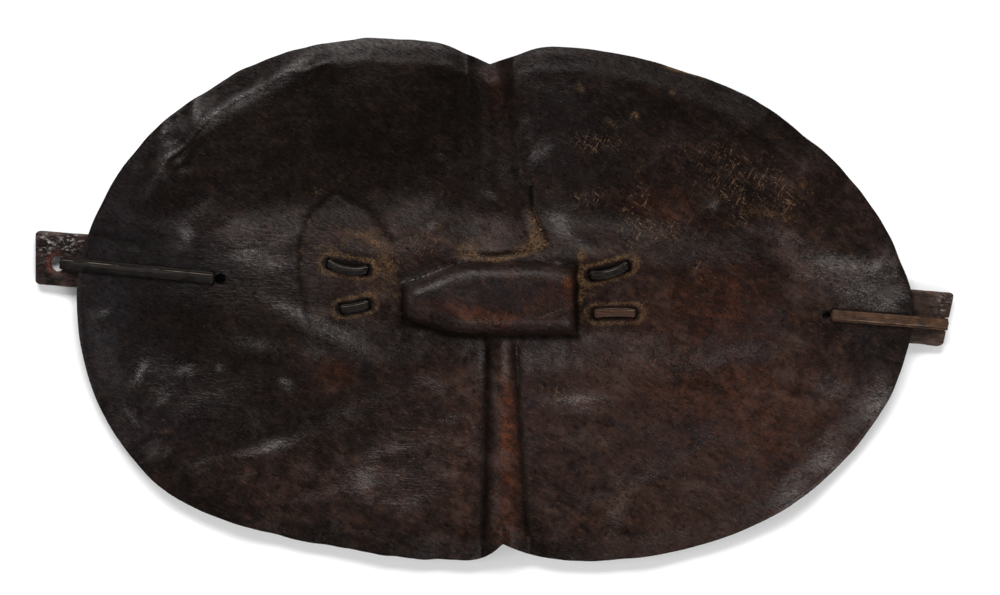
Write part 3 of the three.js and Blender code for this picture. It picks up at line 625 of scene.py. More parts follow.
def painted(x, y, spots, lines=()):
    total = sum(strength * spot(x, y, at, spread, turn) for at, spread, turn, strength in spots)
    for points, width, strength in lines:
        total = total + strength * np.exp(-((near_line(x, y, points) / width) ** 2))
    return total


def lashing_distance(x, y):
    """Distance from each place to the nearest lashing, slits and all."""
    return np.min([near_line(x, y, run) for side in LASHINGS.values() for run in side.values()], axis=0)


hx, hy, _ = coordinates(hide)
boss_top, boss_bottom = boss_edges(hx)
in_boss = np.minimum(np.minimum(hx - BOSS_LEFT, BOSS_RIGHT - hx), np.minimum(boss_top - hy, hy - boss_bottom))
# Painted shadow of the boss round its foot, weakened along its upper side except at its right end.
boss_shadow = 1.3 * np.exp(-((np.minimum(in_boss + 1, 0) / 5) ** 2) - (np.maximum(in_boss, 0) / 2) ** 2)
boss_shadow = boss_shadow * (1 - 0.8 * ease(-10, 24, hy) * (1 - ease(60, 78, hx)))
# Painted shade in the sunk creases.
crease_shade = sum(-height / 2 * np.exp(-((near_line(hx, hy, points) / (1.3 * width)) ** 2))
             for points, width, height in CREASES if height < 0)
lashing = lashing_distance(hx, hy)
add_attribute(hide, "warm", painted(hx, hy, WARM))
add_attribute(hide, "red_wear", painted(hx, hy, RED_WEAR))
dust_ring = 0.85 * np.exp(-(((lashing - 9.5) / 2.6) ** 2))
add_attribute(hide, "dust", painted(hx, hy, DUST, DUST_LINES) + dust_ring)
# Painted shade mask: the sunk creases, the boss's shadow and the hide close beside the lashings.
add_attribute(hide, "crease_shade", crease_shade + 0.7 * boss_shadow + 0.9 * np.exp(-((lashing / 7) ** 4)))
add_attribute(hide, "cool", painted(hx, hy, COOL))
add_attribute(hide, "wrinkled", painted(hx, hy, WRINKLED))
add_attribute(hide, "scratched", painted(hx, hy, SCRATCHED))
rubbed = [(at, spread, turn, shine) for at, spread, turn, _, shine in LUMPS]
add_attribute(hide, "polish", painted(hx, hy, POLISH + rubbed))
add_attribute(hide, "dull", painted(hx, hy, DULL))


def srgb(red, green, blue):
    """Linear colour of an 8-bit one."""
    return tuple(((c / 255 + 0.055) / 1.055) ** 2.4 if c > 10 else c / 255 / 12.92
                 for c in (red, green, blue)) + (1.0,)


def node(tree, kind, sockets=None, **settings):
    """Adds a node; a socket's value is a number, a colour or another node's output."""
    made = tree.nodes.new("ShaderNode" + kind)
    for name, value in settings.items():
        setattr(made, name, value)
    for name, value in (sockets or {}).items():
        if isinstance(value, bpy.types.NodeSocket):
            tree.links.new(value, made.inputs[name])
        else:
            made.inputs[name].default_value = value
    return made


def noise(tree, vector, scale, detail=4, roughness=0.55, distortion=0.0):
    made = node(tree, "TexNoise", {"Vector": vector, "Scale": scale, "Detail": detail, "Roughness": roughness,
                                   "Distortion": distortion})
    return made.outputs["Fac"]


def stretched(tree, vector, turn, scale):
    """The pattern's coordinates, drawn out into streaks that slope down to the right by the turn."""
    rotation = (0, 0, math.radians(turn))
    turned = node(tree, "Mapping", {"Vector": vector, "Rotation": rotation}).outputs["Vector"]
    return node(tree, "Mapping", {"Vector": turned, "Scale": scale}).outputs["Vector"]


def ramp(tree, value, low, high, out_low=0.0, out_high=1.0):
    return node(tree, "MapRange", {"Value": value, "From Min": low, "From Max": high, "To Min": out_low,
                                   "To Max": out_high}, interpolation_type="SMOOTHSTEP").outputs["Result"]


def maths(tree, operation, a, b):
    made = node(tree, "Math", {0: a, 1: b}, operation=operation, use_clamp=operation in ("ADD", "SUBTRACT"))
    return made.outputs["Value"]


def blend(tree, share, a, b):
    made = node(tree, "Mix", data_type="RGBA")
    for index, value in ((0, share), (6, a), (7, b)):
        if isinstance(value, bpy.types.NodeSocket):
            tree.links.new(value, made.inputs[index])
        else:
            made.inputs[index].default_value = value
    return made.outputs[2]


def painted_mask(tree, name):
    return node(tree, "Attribute", attribute_name=name).outputs["Fac"]


def new_material(name):
    material = bpy.data.materials.new(name)
    material.use_nodes = True
    tree = material.node_tree
    shader = tree.nodes["Principled BSDF"]
    place = node(tree, "TexCoord").outputs["Object"]
    return material, tree, shader, place


def bump(tree, shader, layers):
    """Stacks relief layers, each a height, its depth in metres and its strength."""
    normal = None
    for height, distance, strength in layers:
        sockets = {"Height": height, "Distance": distance, "Strength": strength}
        if normal is not None:
            sockets["Normal"] = normal
        normal = node(tree, "Bump", sockets).outputs["Normal"]
    tree.links.new(normal, shader.inputs["Normal"])


HIDE_DARKEST = srgb(9, 6, 5)
HIDE_DARK = srgb(20, 14, 12)
HIDE_BROWN = srgb(40, 27, 23)
HIDE_RUST = srgb(55, 36, 28)
HIDE_PLUM = srgb(25, 20, 20)
HIDE_BLUE = srgb(30, 27, 30)
HIDE_MAUVE = srgb(54, 42, 38)
HIDE_TAN = srgb(84, 62, 45)
HIDE_RED = srgb(94, 48, 28)
OCHRE = srgb(102, 77, 50)
NICK_TAN = srgb(98, 74, 56)
# Near black, for dark specks in the hide and for painted shade in creases and on the thongs.
DIRT_AND_SHADE = srgb(5, 4, 3)


def hide_material():
    material, tree, shader, place = new_material("hide_leather")
    broad = noise(tree, place, 11, 5, 0.6)
    mottle = noise(tree, place, 60, 6, 0.65)
    speckle = noise(tree, place, 520, 4, 0.7)
    streak = noise(tree, stretched(tree, place, 28, (150, 620, 200)), 1, 5, 0.7, 0.5)
    cross_streak = noise(tree, stretched(tree, place, -58, (140, 600, 200)), 1, 5, 0.7, 0.6)
    hairs = noise(tree, stretched(tree, place, 12, (260, 1300, 400)), 1, 3, 0.7, 0.4)

    warm = maths(tree, "MULTIPLY", painted_mask(tree, "warm"), ramp(tree, mottle, 0.25, 0.75, 0.55, 1.35))
    warm = maths(tree, "ADD", warm, ramp(tree, broad, 0.4, 0.75, 0.0, 0.2))
    warm = maths(tree, "ADD", warm, ramp(tree, hairs, 0.45, 0.75, 0.0, 0.16))
    warm = maths(tree, "SUBTRACT", warm, ramp(tree, speckle, 0.5, 0.75, 0.0, 0.2))
    colour = blend(tree, ramp(tree, warm, 0, 0.5), HIDE_DARKEST, HIDE_DARK)
    colour = blend(tree, ramp(tree, warm, 0.4, 1), colour, HIDE_BROWN)
    patch = noise(tree, stretched(tree, place, 35, (70, 120, 90)), 1, 6, 0.7, 0.3)
    rust = maths(tree, "MULTIPLY", warm, ramp(tree, patch, 0.5, 0.7, 0.0, 0.8))
    plum = maths(tree, "MULTIPLY", ramp(tree, patch, 0.5, 0.32, 0.0, 0.8), ramp(tree, warm, 0.2, 0.8))
    colour = blend(tree, rust, colour, HIDE_RUST)
    colour = blend(tree, plum, colour, HIDE_PLUM)
    cloud = noise(tree, stretched(tree, place, 30, (22, 40, 30)), 1, 5, 0.6, 0.4)
    pale = maths(tree, "MULTIPLY", ramp(tree, warm, 0.2, 0.9), ramp(tree, cloud, 0.52, 0.66, 0.0, 0.7))
    colour = blend(tree, pale, colour, HIDE_MAUVE)
    colour = blend(tree, ramp(tree, cloud, 0.46, 0.32, 0.0, 0.7), colour, HIDE_DARKEST)
    cool = maths(tree, "MULTIPLY", painted_mask(tree, "cool"), ramp(tree, patch, 0.3, 0.6, 0.9, 0.3))
    colour = blend(tree, cool, colour, HIDE_BLUE)
    tan = maths(tree, "MULTIPLY", warm, ramp(tree, streak, 0.55, 0.7))
    colour = blend(tree, maths(tree, "MULTIPLY", tan, 0.5), colour, HIDE_TAN)
    soot = maths(tree, "MAXIMUM", ramp(tree, noise(tree, place, 210, 4, 0.7), 0.5, 0.3),
                 ramp(tree, speckle, 0.46, 0.3))
    colour = blend(tree, maths(tree, "MULTIPLY", soot, 0.6), colour, DIRT_AND_SHADE)

    red = maths(tree, "MULTIPLY", painted_mask(tree, "red_wear"), ramp(tree, speckle, 0.38, 0.58, 0.1, 1.0))
    red = maths(tree, "MULTIPLY", red, ramp(tree, patch, 0.4, 0.62, 0.25, 1.0))
    colour = blend(tree, maths(tree, "MULTIPLY", red, 0.6), colour, HIDE_RED)

    dust = maths(tree, "SUBTRACT", painted_mask(tree, "dust"), ramp(tree, patch, 0.35, 0.6, 0.0, 0.5))
    dust = maths(tree, "MULTIPLY", dust, ramp(tree, speckle, 0.4, 0.6, 0.1, 1.1))
    dust = maths(tree, "MULTIPLY", dust, ramp(tree, cross_streak, 0.35, 0.65, 0.5, 1.1))
    colour = blend(tree, maths(tree, "MULTIPLY", dust, 0.85), colour, OCHRE)

    stroke = noise(tree, stretched(tree, place, 38, (90, 480, 200)), 1, 3, 0.6, 1.2)
    cross_stroke = noise(tree, stretched(tree, place, -62, (100, 520, 200)), 1, 3, 0.6, 1.2)
    nicks = maths(tree, "MAXIMUM", ramp(tree, stroke, 0.6, 0.68), ramp(tree, cross_stroke, 0.59, 0.67))
    nicks = maths(tree, "MULTIPLY", nicks, ramp(tree, speckle, 0.35, 0.5, 0.4, 1.0))
    scratched = painted_mask(tree, "scratched")
    gathered = maths(tree, "MULTIPLY", scratched, ramp(tree, patch, 0.3, 0.55, 0.3, 1.2))
    nicks = maths(tree, "MULTIPLY", nicks, ramp(tree, gathered, 0.1, 0.9, 0.0, 0.7))
    colour = blend(tree, nicks, colour, NICK_TAN)

    # Painted shade: the creases, the foot of the boss and the hide beside the lashings are darkened, less
    # where there is dust.
    crease_shade = maths(tree, "MULTIPLY", painted_mask(tree, "crease_shade"), ramp(tree, mottle, 0.25, 0.6, 0.6, 1.0))
    crease_shade = maths(tree, "SUBTRACT", crease_shade, dust)
    colour = blend(tree, crease_shade, colour, DIRT_AND_SHADE)
    tree.links.new(colour, shader.inputs["Base Color"])

    polish = painted_mask(tree, "polish")
    dull = painted_mask(tree, "dull")
    rough = ramp(tree, mottle, 0.3, 0.72, 0.2, 0.34)
    rough = maths(tree, "ADD", rough, maths(tree, "MULTIPLY", dust, 0.35))
    rough = maths(tree, "ADD", rough, maths(tree, "MULTIPLY", crease_shade, 0.3))
    rough = maths(tree, "ADD", rough, maths(tree, "MULTIPLY", dull, 0.1))
    tree.links.new(rough, shader.inputs["Roughness"])
    shine = ramp(tree, polish, 0.0, 1.0, 0.11, 0.42)
    shine = maths(tree, "MULTIPLY", shine, ramp(tree, crease_shade, 0.1, 0.9, 1.0, 0.2))
    shine = maths(tree, "MULTIPLY", shine, ramp(tree, dull, 0.0, 1.0, 1.0, 0.35))
    shine = maths(tree, "MULTIPLY", shine, ramp(tree, streak, 0.3, 0.7, 0.4, 1.5))
    shine = maths(tree, "MULTIPLY", shine, ramp(tree, soot, 0.0, 1.0, 1.2, 0.5))
    tree.links.new(shine, shader.inputs["Specular IOR Level"])
    shader.inputs["Specular Tint"].default_value = (1, 0.92, 0.89, 1)

    lively = ramp(tree, polish, 0.0, 0.8, 0.2, 0.5)
    pores = node(tree, "TexVoronoi", {"Vector": place, "Scale": 480}).outputs["Distance"]
    bump(tree, shader, [
        (noise(tree, place, 75, 5, 0.6), 0.0012, lively),
        (noise(tree, place, 190, 4, 0.65), 0.0007, lively),
        (streak, 0.0008, lively),
        (cross_streak, 0.0005, lively),
        (pores, 0.0005, lively),
        (noise(tree, stretched(tree, place, 3, (60, 380, 200)), 1, 4, 0.6, 0.8), 0.0016,
         painted_mask(tree, "wrinkled")),
        (speckle, 0.0004, 0.6),
    ])
    return material


hide.data.materials.clear()
hide.data.materials.append(hide_material())
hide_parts("hide")
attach(hide, "root")

# Stave: a board of dark, close-grained wood that runs along the back of the hide and shows as a tab
# at each end. Its middle is whittled to a round grip behind the boss. The hide is tied to it by the
# thongs alone, and its tabs are rubbed and knocked pale at the corners, their pale specks partly a
# painted highlight.

STAVE_STEPS, CORNER_STEPS, FACE_STEPS = 420, 7, 12
END_ROUND = 1.8
PLAN_CORNER = 5


def stave_half_width(x):
    return lerp(STAVE_WIDTH, GRIP_WIDTH, grip_share(x)) / 2


def stave_top(x):
    return bed_z(x) - GRIP_WAIST * grip_share(x)


def stave_bottom(x):
    depth = lerp(STAVE_THICKNESS, GRIP_WAIST + GRIP_DEPTH, grip_share(x))
    return np.maximum(0, bed_z(x) - depth)


def stave_corner(x):
    return lerp(STAVE_CORNER, GRIP_CORNER, grip_share(x))


def section_ring():
    """A rectangle with round corners: which corner, and the way out from the corner's middle."""
    corners = [(1, 1), (-1, 1), (-1, -1), (1, -1)]
    ring = []
    for k, (side, up) in enumerate(corners):
        following = corners[(k + 1) % 4]
        for t in np.linspace(0, 1, CORNER_STEPS):
            angle = (k + t) * math.pi / 2
            ring.append((side, up, math.cos(angle), math.sin(angle)))
        for t in np.linspace(0, 1, FACE_STEPS + 1)[1:-1]:
            ring.append((lerp(side, following[0], t), lerp(up, following[1], t), *ring[-1][2:]))
    return np.array(ring)


def stave_mesh():
    half_length = STAVE_LENGTH / 2
    near_end = half_length - END_ROUND * np.array([0.6, 0.3, 0.1])
    along = np.concatenate([np.linspace(-half_length, half_length, STAVE_STEPS + 1), near_end, -near_end])
    along = np.sort(along)[:, None]
    ring = section_ring()
    side, up, out_y, out_z = ring.T[:, None, :]
    to_end = half_length - np.abs(along)
    inset = END_ROUND - np.sqrt(END_ROUND ** 2 - np.maximum(0, END_ROUND - to_end) ** 2)
    corner = stave_corner(along)
    half = stave_half_width(along)
    top, bottom = stave_top(along), stave_bottom(along)
    offset = side * (half - corner) + (corner - inset) * out_y
    y = stave_y(along) + offset
    z = (top + bottom) / 2 + up * ((top - bottom) / 2 - corner) + (corner - inset) * out_z
    into_corner = np.maximum(0, PLAN_CORNER - half + np.abs(offset))
    round_off = PLAN_CORNER - np.sqrt(PLAN_CORNER ** 2 - into_corner ** 2)
    shift = np.where(along > 0, stave_end_x(y) - half_length - round_off, round_off)
    x = along + shift * ease(half_length - 40, half_length, np.abs(along))
    wobble = 0.3 * value_noise(x, y + 5 * z, 38, 21) + 0.15 * value_noise(x, y + 5 * z, 11, 22)
    worn = wobble * ease(0, 6, to_end) - 0.3
    y = y + worn * out_y
    z = z + worn * out_z
    to_hole = np.hypot(x - TAB_HOLE[0], y - TAB_HOLE[1])
    lower_left = 0.5 - 0.5 * (x - TAB_HOLE[0] + y - TAB_HOLE[1]) / np.maximum(to_hole, 1) / 1.42
    by_hole = 1 - ease(TAB_HOLE_RADIUS, TAB_HOLE_RADIUS + 4.5, to_hole)
    z = z - (0.5 + 1.2 * lower_left) * by_hole * (out_z > 0.9)
    rows, columns = z.shape
    faces = [tuple(range(columns)), tuple(range(rows * columns - 1, (rows - 1) * columns - 1, -1))]
    for i in range(rows - 1):
        for k in range(columns):
            a, b = i * columns + k, i * columns + (k + 1) % columns
            faces.append((a, a + columns, b + columns, b))
    return np.stack([x, y, z], -1).reshape(-1, 3) * MM, faces


def groove_mesh(start, end):
    """Cutter for the channel that an end thong lies in on the stave's back."""
    vertices = []
    for share in np.linspace(0, 1, 9):
        x, y = lerp(start[0], end[0], share), lerp(start[1], end[1], share)
        top = stave_bottom(x) + GROOVE_DEPTH
        for side, z in ((-1, -60), (1, -60), (1, top), (-1, top)):
            vertices.append((x * MM, (y + side * GROOVE_WIDTH / 2) * MM, z * MM))
    faces = [(3, 2, 1, 0), (32, 33, 34, 35)]
    for row in range(0, 32, 4):
        for k in range(4):
            following = (k + 1) % 4
            faces.append((row + k, row + following, row + 4 + following, row + 4 + k))
    return vertices, faces


def cut_with(obj, cutter):
    cut = obj.modifiers.new("cut", "BOOLEAN")
    cut.object, cut.operation, cut.solver = cutter, "DIFFERENCE", "EXACT"
    bake(obj)
    bpy.data.objects.remove(cutter)


GROOVE_WIDTH = END_THONG_WIDTH + 2 * SLOT_GAP
GROOVE_DEPTH = END_LIFT + END_THONG_THICKNESS / 2 + 0.6

stave = new_object("stave_board", *stave_mesh())
notch_x = RIGHT_OUTER[0] - END_LIFT
notch = [(notch_x, RIGHT_NOTCH_Y - GROOVE_WIDTH / 2), (notch_x + 60, RIGHT_NOTCH_Y - GROOVE_WIDTH / 2),
         (notch_x + 60, RIGHT_NOTCH_Y + GROOVE_WIDTH / 2), (notch_x, RIGHT_NOTCH_Y + GROOVE_WIDTH / 2)]
cut_through(stave, [disc_outline(TAB_HOLE, TAB_HOLE_RADIUS, 48)])
cut_through(stave, [notch])
for thong in END_THONGS.values():
    cut_through(stave, [slot_outline(thong["slot"], plan_turn(thong["outer"], thong["slot"]),
                                     END_THONG_WIDTH + 2 * SLOT_GAP, END_THONG_THICKNESS + 2 * SLOT_GAP)])
cut_with(stave, new_object("groove", *groove_mesh(LEFT_OUTER, END_THONGS["left"]["slot"])))
cut_with(stave, new_object("groove", *groove_mesh(END_THONGS["right"]["slot"], RIGHT_OUTER)))
mark_sharp(stave, 45)

sx, sy, sz = coordinates(stave)
from_hole = np.hypot(sx - TAB_HOLE[0], sy - TAB_HOLE[1])
from_side = stave_half_width(sx) - np.abs(sy - stave_y(sx))
from_end = np.minimum(sx + STAVE_LENGTH / 2, stave_end_x(sy) - sx)
add_attribute(stave, "edge", np.exp(-((np.minimum(from_side, from_end) / 4) ** 2)) * (sz > stave_top(sx) - 5))
add_attribute(stave, "bevel", np.exp(-(((from_hole - 9) / 3) ** 2)) * (0.5 - 0.4 * (sx - TAB_HOLE[0]) / 9))
add_attribute(stave, "warm", ease(380, 450, sx))
# Pale scuffs on the tabs near their upper edges, partly wear and partly a painted highlight.
add_attribute(stave, "scuffed_glint", spot(sx, sy, (-452, 58), (6, 9)) + spot(sx, sy, (-427, 57), (6, 7))
              + 0.5 * spot(sx, sy, (-400, 62), (14, 4)) + 0.5 * spot(sx, sy, (452, -6), (6, 12)))
add_attribute(stave, "reddish", spot(sx, sy, (-418, 22), (7, 7)) + spot(sx, sy, (-400, 50), (10, 6)))

WOOD_DARK = srgb(11, 7, 7)
WOOD_BROWN = srgb(28, 18, 16)
WOOD_WORN = srgb(76, 56, 44)
WOOD_RED = srgb(76, 36, 24)
SCUFF_GLINT_GREY = srgb(150, 140, 138)


def wood_material():
    material, tree, shader, place = new_material("stave_wood")
    grain = noise(tree, stretched(tree, place, 4, (16, 420, 300)), 1, 6, 0.65, 0.4)
    fine = noise(tree, stretched(tree, place, 4, (60, 1500, 900)), 1, 4, 0.7)
    mottle = noise(tree, place, 70, 5, 0.6)
    colour = blend(tree, ramp(tree, grain, 0.35, 0.68), WOOD_DARK, WOOD_BROWN)
    warm = maths(tree, "MULTIPLY", painted_mask(tree, "warm"), ramp(tree, mottle, 0.3, 0.7, 0.2, 0.8))
    colour = blend(tree, maths(tree, "MULTIPLY", warm, 0.55), colour, WOOD_WORN)
    edge = maths(tree, "MULTIPLY", painted_mask(tree, "edge"), ramp(tree, mottle, 0.42, 0.66))
    colour = blend(tree, maths(tree, "MULTIPLY", edge, 0.55), colour, WOOD_WORN)
    colour = blend(tree, maths(tree, "MULTIPLY", painted_mask(tree, "bevel"), 0.85), colour, WOOD_RED)
    red = maths(tree, "MULTIPLY", painted_mask(tree, "reddish"), ramp(tree, mottle, 0.35, 0.6, 0.0, 0.5))
    colour = blend(tree, red, colour, WOOD_RED)
    # Pale grey specks where the tabs are scuffed, partly a painted highlight.
    flecks = noise(tree, stretched(tree, place, 4, (160, 320, 300)), 1, 5, 0.75)
    scuffs_and_glints = maths(tree, "MULTIPLY", painted_mask(tree, "scuffed_glint"), ramp(tree, flecks, 0.52, 0.64))
    colour = blend(tree, scuffs_and_glints, colour, SCUFF_GLINT_GREY)
    tree.links.new(colour, shader.inputs["Base Color"])
    tree.links.new(ramp(tree, mottle, 0.3, 0.7, 0.36, 0.52), shader.inputs["Roughness"])
    tree.links.new(ramp(tree, flecks, 0.35, 0.65, 0.03, 0.25), shader.inputs["Specular IOR Level"])
    bump(tree, shader, [(grain, 0.0008, 0.4), (fine, 0.0004, 0.4), (flecks, 0.0009, 0.5),
                        (mottle, 0.0006, 0.3)])
    return material


stave.data.materials.clear()
stave.data.materials.append(wood_material())
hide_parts("stave")
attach(stave, "root")

# Thongs: flat strips of thick hide, rounded at their edges. One lies along the hide at each end,
# passes through it in a slot, and comes back in a channel behind the stave.

UP, DOWN = np.array([0, 0, 1.0]), np.array([0, 0, -1.0])


def bend(place, z, start, end, radius, across):
    """Points of a quarter turn, each with the direction of the thong's width."""
    corner = np.array([place[0], place[1], z])
    centre = corner - start * radius + end * radius
    return [(centre - end * radius * math.cos(a) + start * radius * math.sin(a), across)
            for a in np.linspace(0, math.pi / 2, 6)]


def lay_on(surface, start, end, shares, width, lift, bow=0):
    """Points along a line in plan, on a surface and tilted with it; a bow sets its middle aside."""
    turn = plan_turn(start, end)
    side = np.array([-math.sin(turn), math.cos(turn)]) * width / 2
    points = []
    for share in shares:
        x, y = np.array([lerp(start[0], end[0], share), lerp(start[1], end[1], share)])
        aside = side * 2 / width * bow * 4 * share * (1 - share)
        x, y = x + aside[0], y + aside[1]
        left, middle, right = (float(surface(x + k * side[0], y + k * side[1])) for k in (1, 0, -1))
        across = np.array([2 * side[0], 2 * side[1], left - right])
        height = max(middle, (left + right) / 2) + lift
        points.append((np.array([x, y, height]), across / np.linalg.norm(across)))
    return points


def thong_path(name, knots):
    """A closed line of edges through the knots that carries the direction of the width."""
    rows = [np.concatenate([at, 4 * across]) for at, across in knots]
    dense = catmull_rom(rows + rows[:1], 4)
    mesh = bpy.data.meshes.new(name)
    count = len(dense)
    mesh.from_pydata(dense[:, :3] * MM, [(i, (i + 1) % count) for i in range(count)], [])
    layer = mesh.attributes.new("across", "FLOAT_VECTOR", "POINT")
    layer.data.foreach_set("vector", dense[:, 3:].astype(np.float32).ravel())
    obj = bpy.data.objects.new(name, mesh)
    bpy.context.scene.collection.objects.link(obj)
    return obj


def flat_thong_tree():
    """A flat strip with round edges that follows a line, its width along the line's 'across'."""
    tree = bpy.data.node_groups.new("flat_thong", "GeometryNodeTree")
    tree.interface.new_socket("Path", in_out="INPUT", socket_type="NodeSocketGeometry")
    for name in ("Width", "Thickness", "Edge Radius", "Fold", "Unevenness", "Grain"):
        tree.interface.new_socket(name, in_out="INPUT", socket_type="NodeSocketFloat")
    tree.interface.new_socket("Material", in_out="INPUT", socket_type="NodeSocketMaterial")
    tree.interface.new_socket("Thong", in_out="OUTPUT", socket_type="NodeSocketGeometry")

    def add(kind, sockets=None, **settings):
        made = tree.nodes.new(kind)
        for key, value in settings.items():
            setattr(made, key, value)
        for key, value in (sockets or {}).items():
            if isinstance(value, bpy.types.NodeSocket):
                tree.links.new(value, made.inputs[key])
            else:
                made.inputs[key].default_value = value
        return made

    given = add("NodeGroupInput").outputs
    across = add("GeometryNodeInputNamedAttribute", {"Name": "across"}, data_type="FLOAT_VECTOR").outputs[0]
    curve = add("GeometryNodeMeshToCurve", {"Mesh": given["Path"]}).outputs["Curve"]
    turned = add("GeometryNodeSetCurveNormal", {"Curve": curve, "Normal": across},
                 mode="FREE").outputs["Curve"]
    flat = add("GeometryNodeCurvePrimitiveQuadrilateral",
               {"Width": given["Width"], "Height": given["Thickness"]}).outputs["Curve"]
    rounded = add("GeometryNodeFilletCurve", {"Curve": flat, "Radius": given["Edge Radius"], "Count": 3,
                                              "Limit Radius": True}, mode="POLY").outputs["Curve"]
    cut = add("GeometryNodeSubdivideCurve", {"Curve": rounded, "Cuts": 5}).outputs["Curve"]
    position = add("ShaderNodeSeparateXYZ", {0: add("GeometryNodeInputPosition").outputs["Position"]}).outputs
    aside = add("ShaderNodeMath", {0: position["X"], 1: given["Width"]}, operation="DIVIDE").outputs[0]
    marked = add("GeometryNodeStoreNamedAttribute", {"Geometry": cut, "Name": "aside", "Value": aside},
                 data_type="FLOAT", domain="POINT").outputs["Geometry"]
    wave = add("ShaderNodeMath", {0: aside, 1: 9.0}, operation="MULTIPLY").outputs[0]
    wave = add("ShaderNodeMath", {0: add("ShaderNodeMath", {0: wave, 1: 0.6}, operation="ADD").outputs[0]},
               operation="COSINE").outputs[0]
    face = add("ShaderNodeMath", {0: position["Y"]}, operation="SIGN").outputs[0]
    drop = add("ShaderNodeMath", {0: wave, 1: given["Fold"]}, operation="MULTIPLY").outputs[0]
    drop = add("ShaderNodeMath", {0: drop, 1: face}, operation="MULTIPLY").outputs[0]
    offset = add("ShaderNodeCombineXYZ", {"Y": drop}).outputs["Vector"]
    profile = add("GeometryNodeSetPosition", {"Geometry": marked, "Offset": offset}).outputs["Geometry"]
    swept = add("GeometryNodeCurveToMesh", {"Curve": turned, "Profile Curve": profile}).outputs["Mesh"]
    grain = add("ShaderNodeTexNoise", {"Scale": given["Grain"], "Detail": 3.0}).outputs["Fac"]
    centred = add("ShaderNodeMath", {0: grain, 1: 0.5}, operation="SUBTRACT").outputs[0]
    height = add("ShaderNodeMath", {0: centred, 1: given["Unevenness"]}, operation="MULTIPLY").outputs[0]
    outward = add("GeometryNodeInputNormal").outputs["Normal"]
    offset = add("ShaderNodeVectorMath", {"Vector": outward, "Scale": height},
                 operation="SCALE").outputs["Vector"]
    uneven = add("GeometryNodeSetPosition", {"Geometry": swept, "Offset": offset}).outputs["Geometry"]
    plain = add("GeometryNodeRealizeInstances", {"Geometry": uneven}).outputs["Geometry"]
    done = add("GeometryNodeSetMaterial",
               {"Geometry": plain, "Material": given["Material"]}).outputs["Geometry"]
    tree.links.new(done, add("NodeGroupOutput").inputs["Thong"])
    return tree


thong_tree = flat_thong_tree()


def sweep_thong(name, knots, width, thickness, fold, material):
    obj = thong_path(name, knots)
    sweep = obj.modifiers.new("thong", "NODES")
    sweep.node_group = thong_tree
    values = {"Width": width * MM, "Thickness": thickness * MM, "Edge Radius": 0.45 * thickness * MM,
              "Fold": fold * MM, "Unevenness": 0.0007, "Grain": 160.0, "Material": material}
    for item in thong_tree.interface.items_tree:
        if item.in_out == "INPUT" and item.name in values:
            sweep[item.identifier] = values[item.name]
    bake(obj)
    mark_sharp(obj, 60)
    return obj


def channel_z(x, y):
    return stave_bottom(x) + GROOVE_DEPTH


def end_thong_knots(outer, slot):
    turn = plan_turn(outer, slot)
    inward = np.array([math.cos(turn), math.sin(turn), 0])
    across = np.array([-math.sin(turn), math.cos(turn), 0])
    span = abs(slot[0] - outer[0])
    rim = (abs(outer[0]) - HIDE_LENGTH / 2) / span
    along = [rim - 0.03, *np.linspace(rim + 0.01, 0.97, 26)]
    return [
        *bend(outer, float(stave_top(outer[0])) + END_LIFT, UP, inward, END_LIFT, across),
        *lay_on(hide_front, outer, slot, along, END_THONG_WIDTH, END_LIFT),
        *bend(slot, float(hide_front(*slot)) + END_LIFT, inward, DOWN, END_LIFT, across),
        *bend(slot, float(channel_z(slot[0], 0)) - END_LIFT, DOWN, -inward, END_LIFT, across),
        *lay_on(channel_z, slot, outer, np.linspace(0.1, 0.9, 9), END_THONG_WIDTH, -END_LIFT),
        *bend(outer, float(channel_z(outer[0], 0)) - END_LIFT, -inward, UP, END_LIFT, across),
    ]


def thong_material(name, dark, light, edge, share):
    material, tree, shader, place = new_material(name)
    mottle = noise(tree, place, 90, 5, 0.65)
    streak = noise(tree, stretched(tree, place, 4, (45, 700, 500)), 1, 5, 0.65, 0.5)
    patch = noise(tree, stretched(tree, place, 4, (40, 160, 160)), 1, 5, 0.65)
    aside = painted_mask(tree, "aside")
    colour = blend(tree, ramp(tree, mottle, 0.34, 0.68), dark, light)
    worn = maths(tree, "MULTIPLY", ramp(tree, streak, 0.5, 0.7), share)
    colour = blend(tree, worn, colour, edge)
    wear = maths(tree, "MULTIPLY", painted_mask(tree, "wear"), ramp(tree, streak, 0.3, 0.6, 0.3, 1.0))
    colour = blend(tree, wear, colour, THONG_TAN)
    # Painted highlight: a pale line along the strip, a quarter of its width from the middle.
    line = maths(tree, "MULTIPLY", ramp(tree, aside, 0.23, 0.27), ramp(tree, aside, 0.32, 0.27))
    line = maths(tree, "MULTIPLY", line, ramp(tree, patch, 0.42, 0.58))
    colour = blend(tree, maths(tree, "MULTIPLY", line, 0.8), colour, THONG_HIGHLIGHT)
    # Painted shade: dark lines along one edge of the strip and beside the painted highlight.
    groove = maths(tree, "MAXIMUM", ramp(tree, aside, -0.4, -0.48),
                   maths(tree, "MULTIPLY", ramp(tree, aside, 0.34, 0.38), ramp(tree, aside, 0.44, 0.4)))
    colour = blend(tree, maths(tree, "MULTIPLY", groove, 0.7), colour, DIRT_AND_SHADE)
    tree.links.new(colour, shader.inputs["Base Color"])
    tree.links.new(ramp(tree, mottle, 0.3, 0.7, 0.36, 0.56), shader.inputs["Roughness"])
    shader.inputs["Specular IOR Level"].default_value = 0.12
    bump(tree, shader, [(streak, 0.0008, 0.6), (mottle, 0.0007, 0.4)])
    return material


THONG_TAN = srgb(58, 39, 29)
THONG_HIGHLIGHT = srgb(112, 98, 84)
dark_thong = thong_material("thong_dark", srgb(7, 5, 4), srgb(18, 13, 10), srgb(46, 36, 28), 0.35)
worn_thong = thong_material("thong_worn", srgb(36, 24, 17), srgb(66, 44, 30), srgb(104, 76, 52), 0.6)

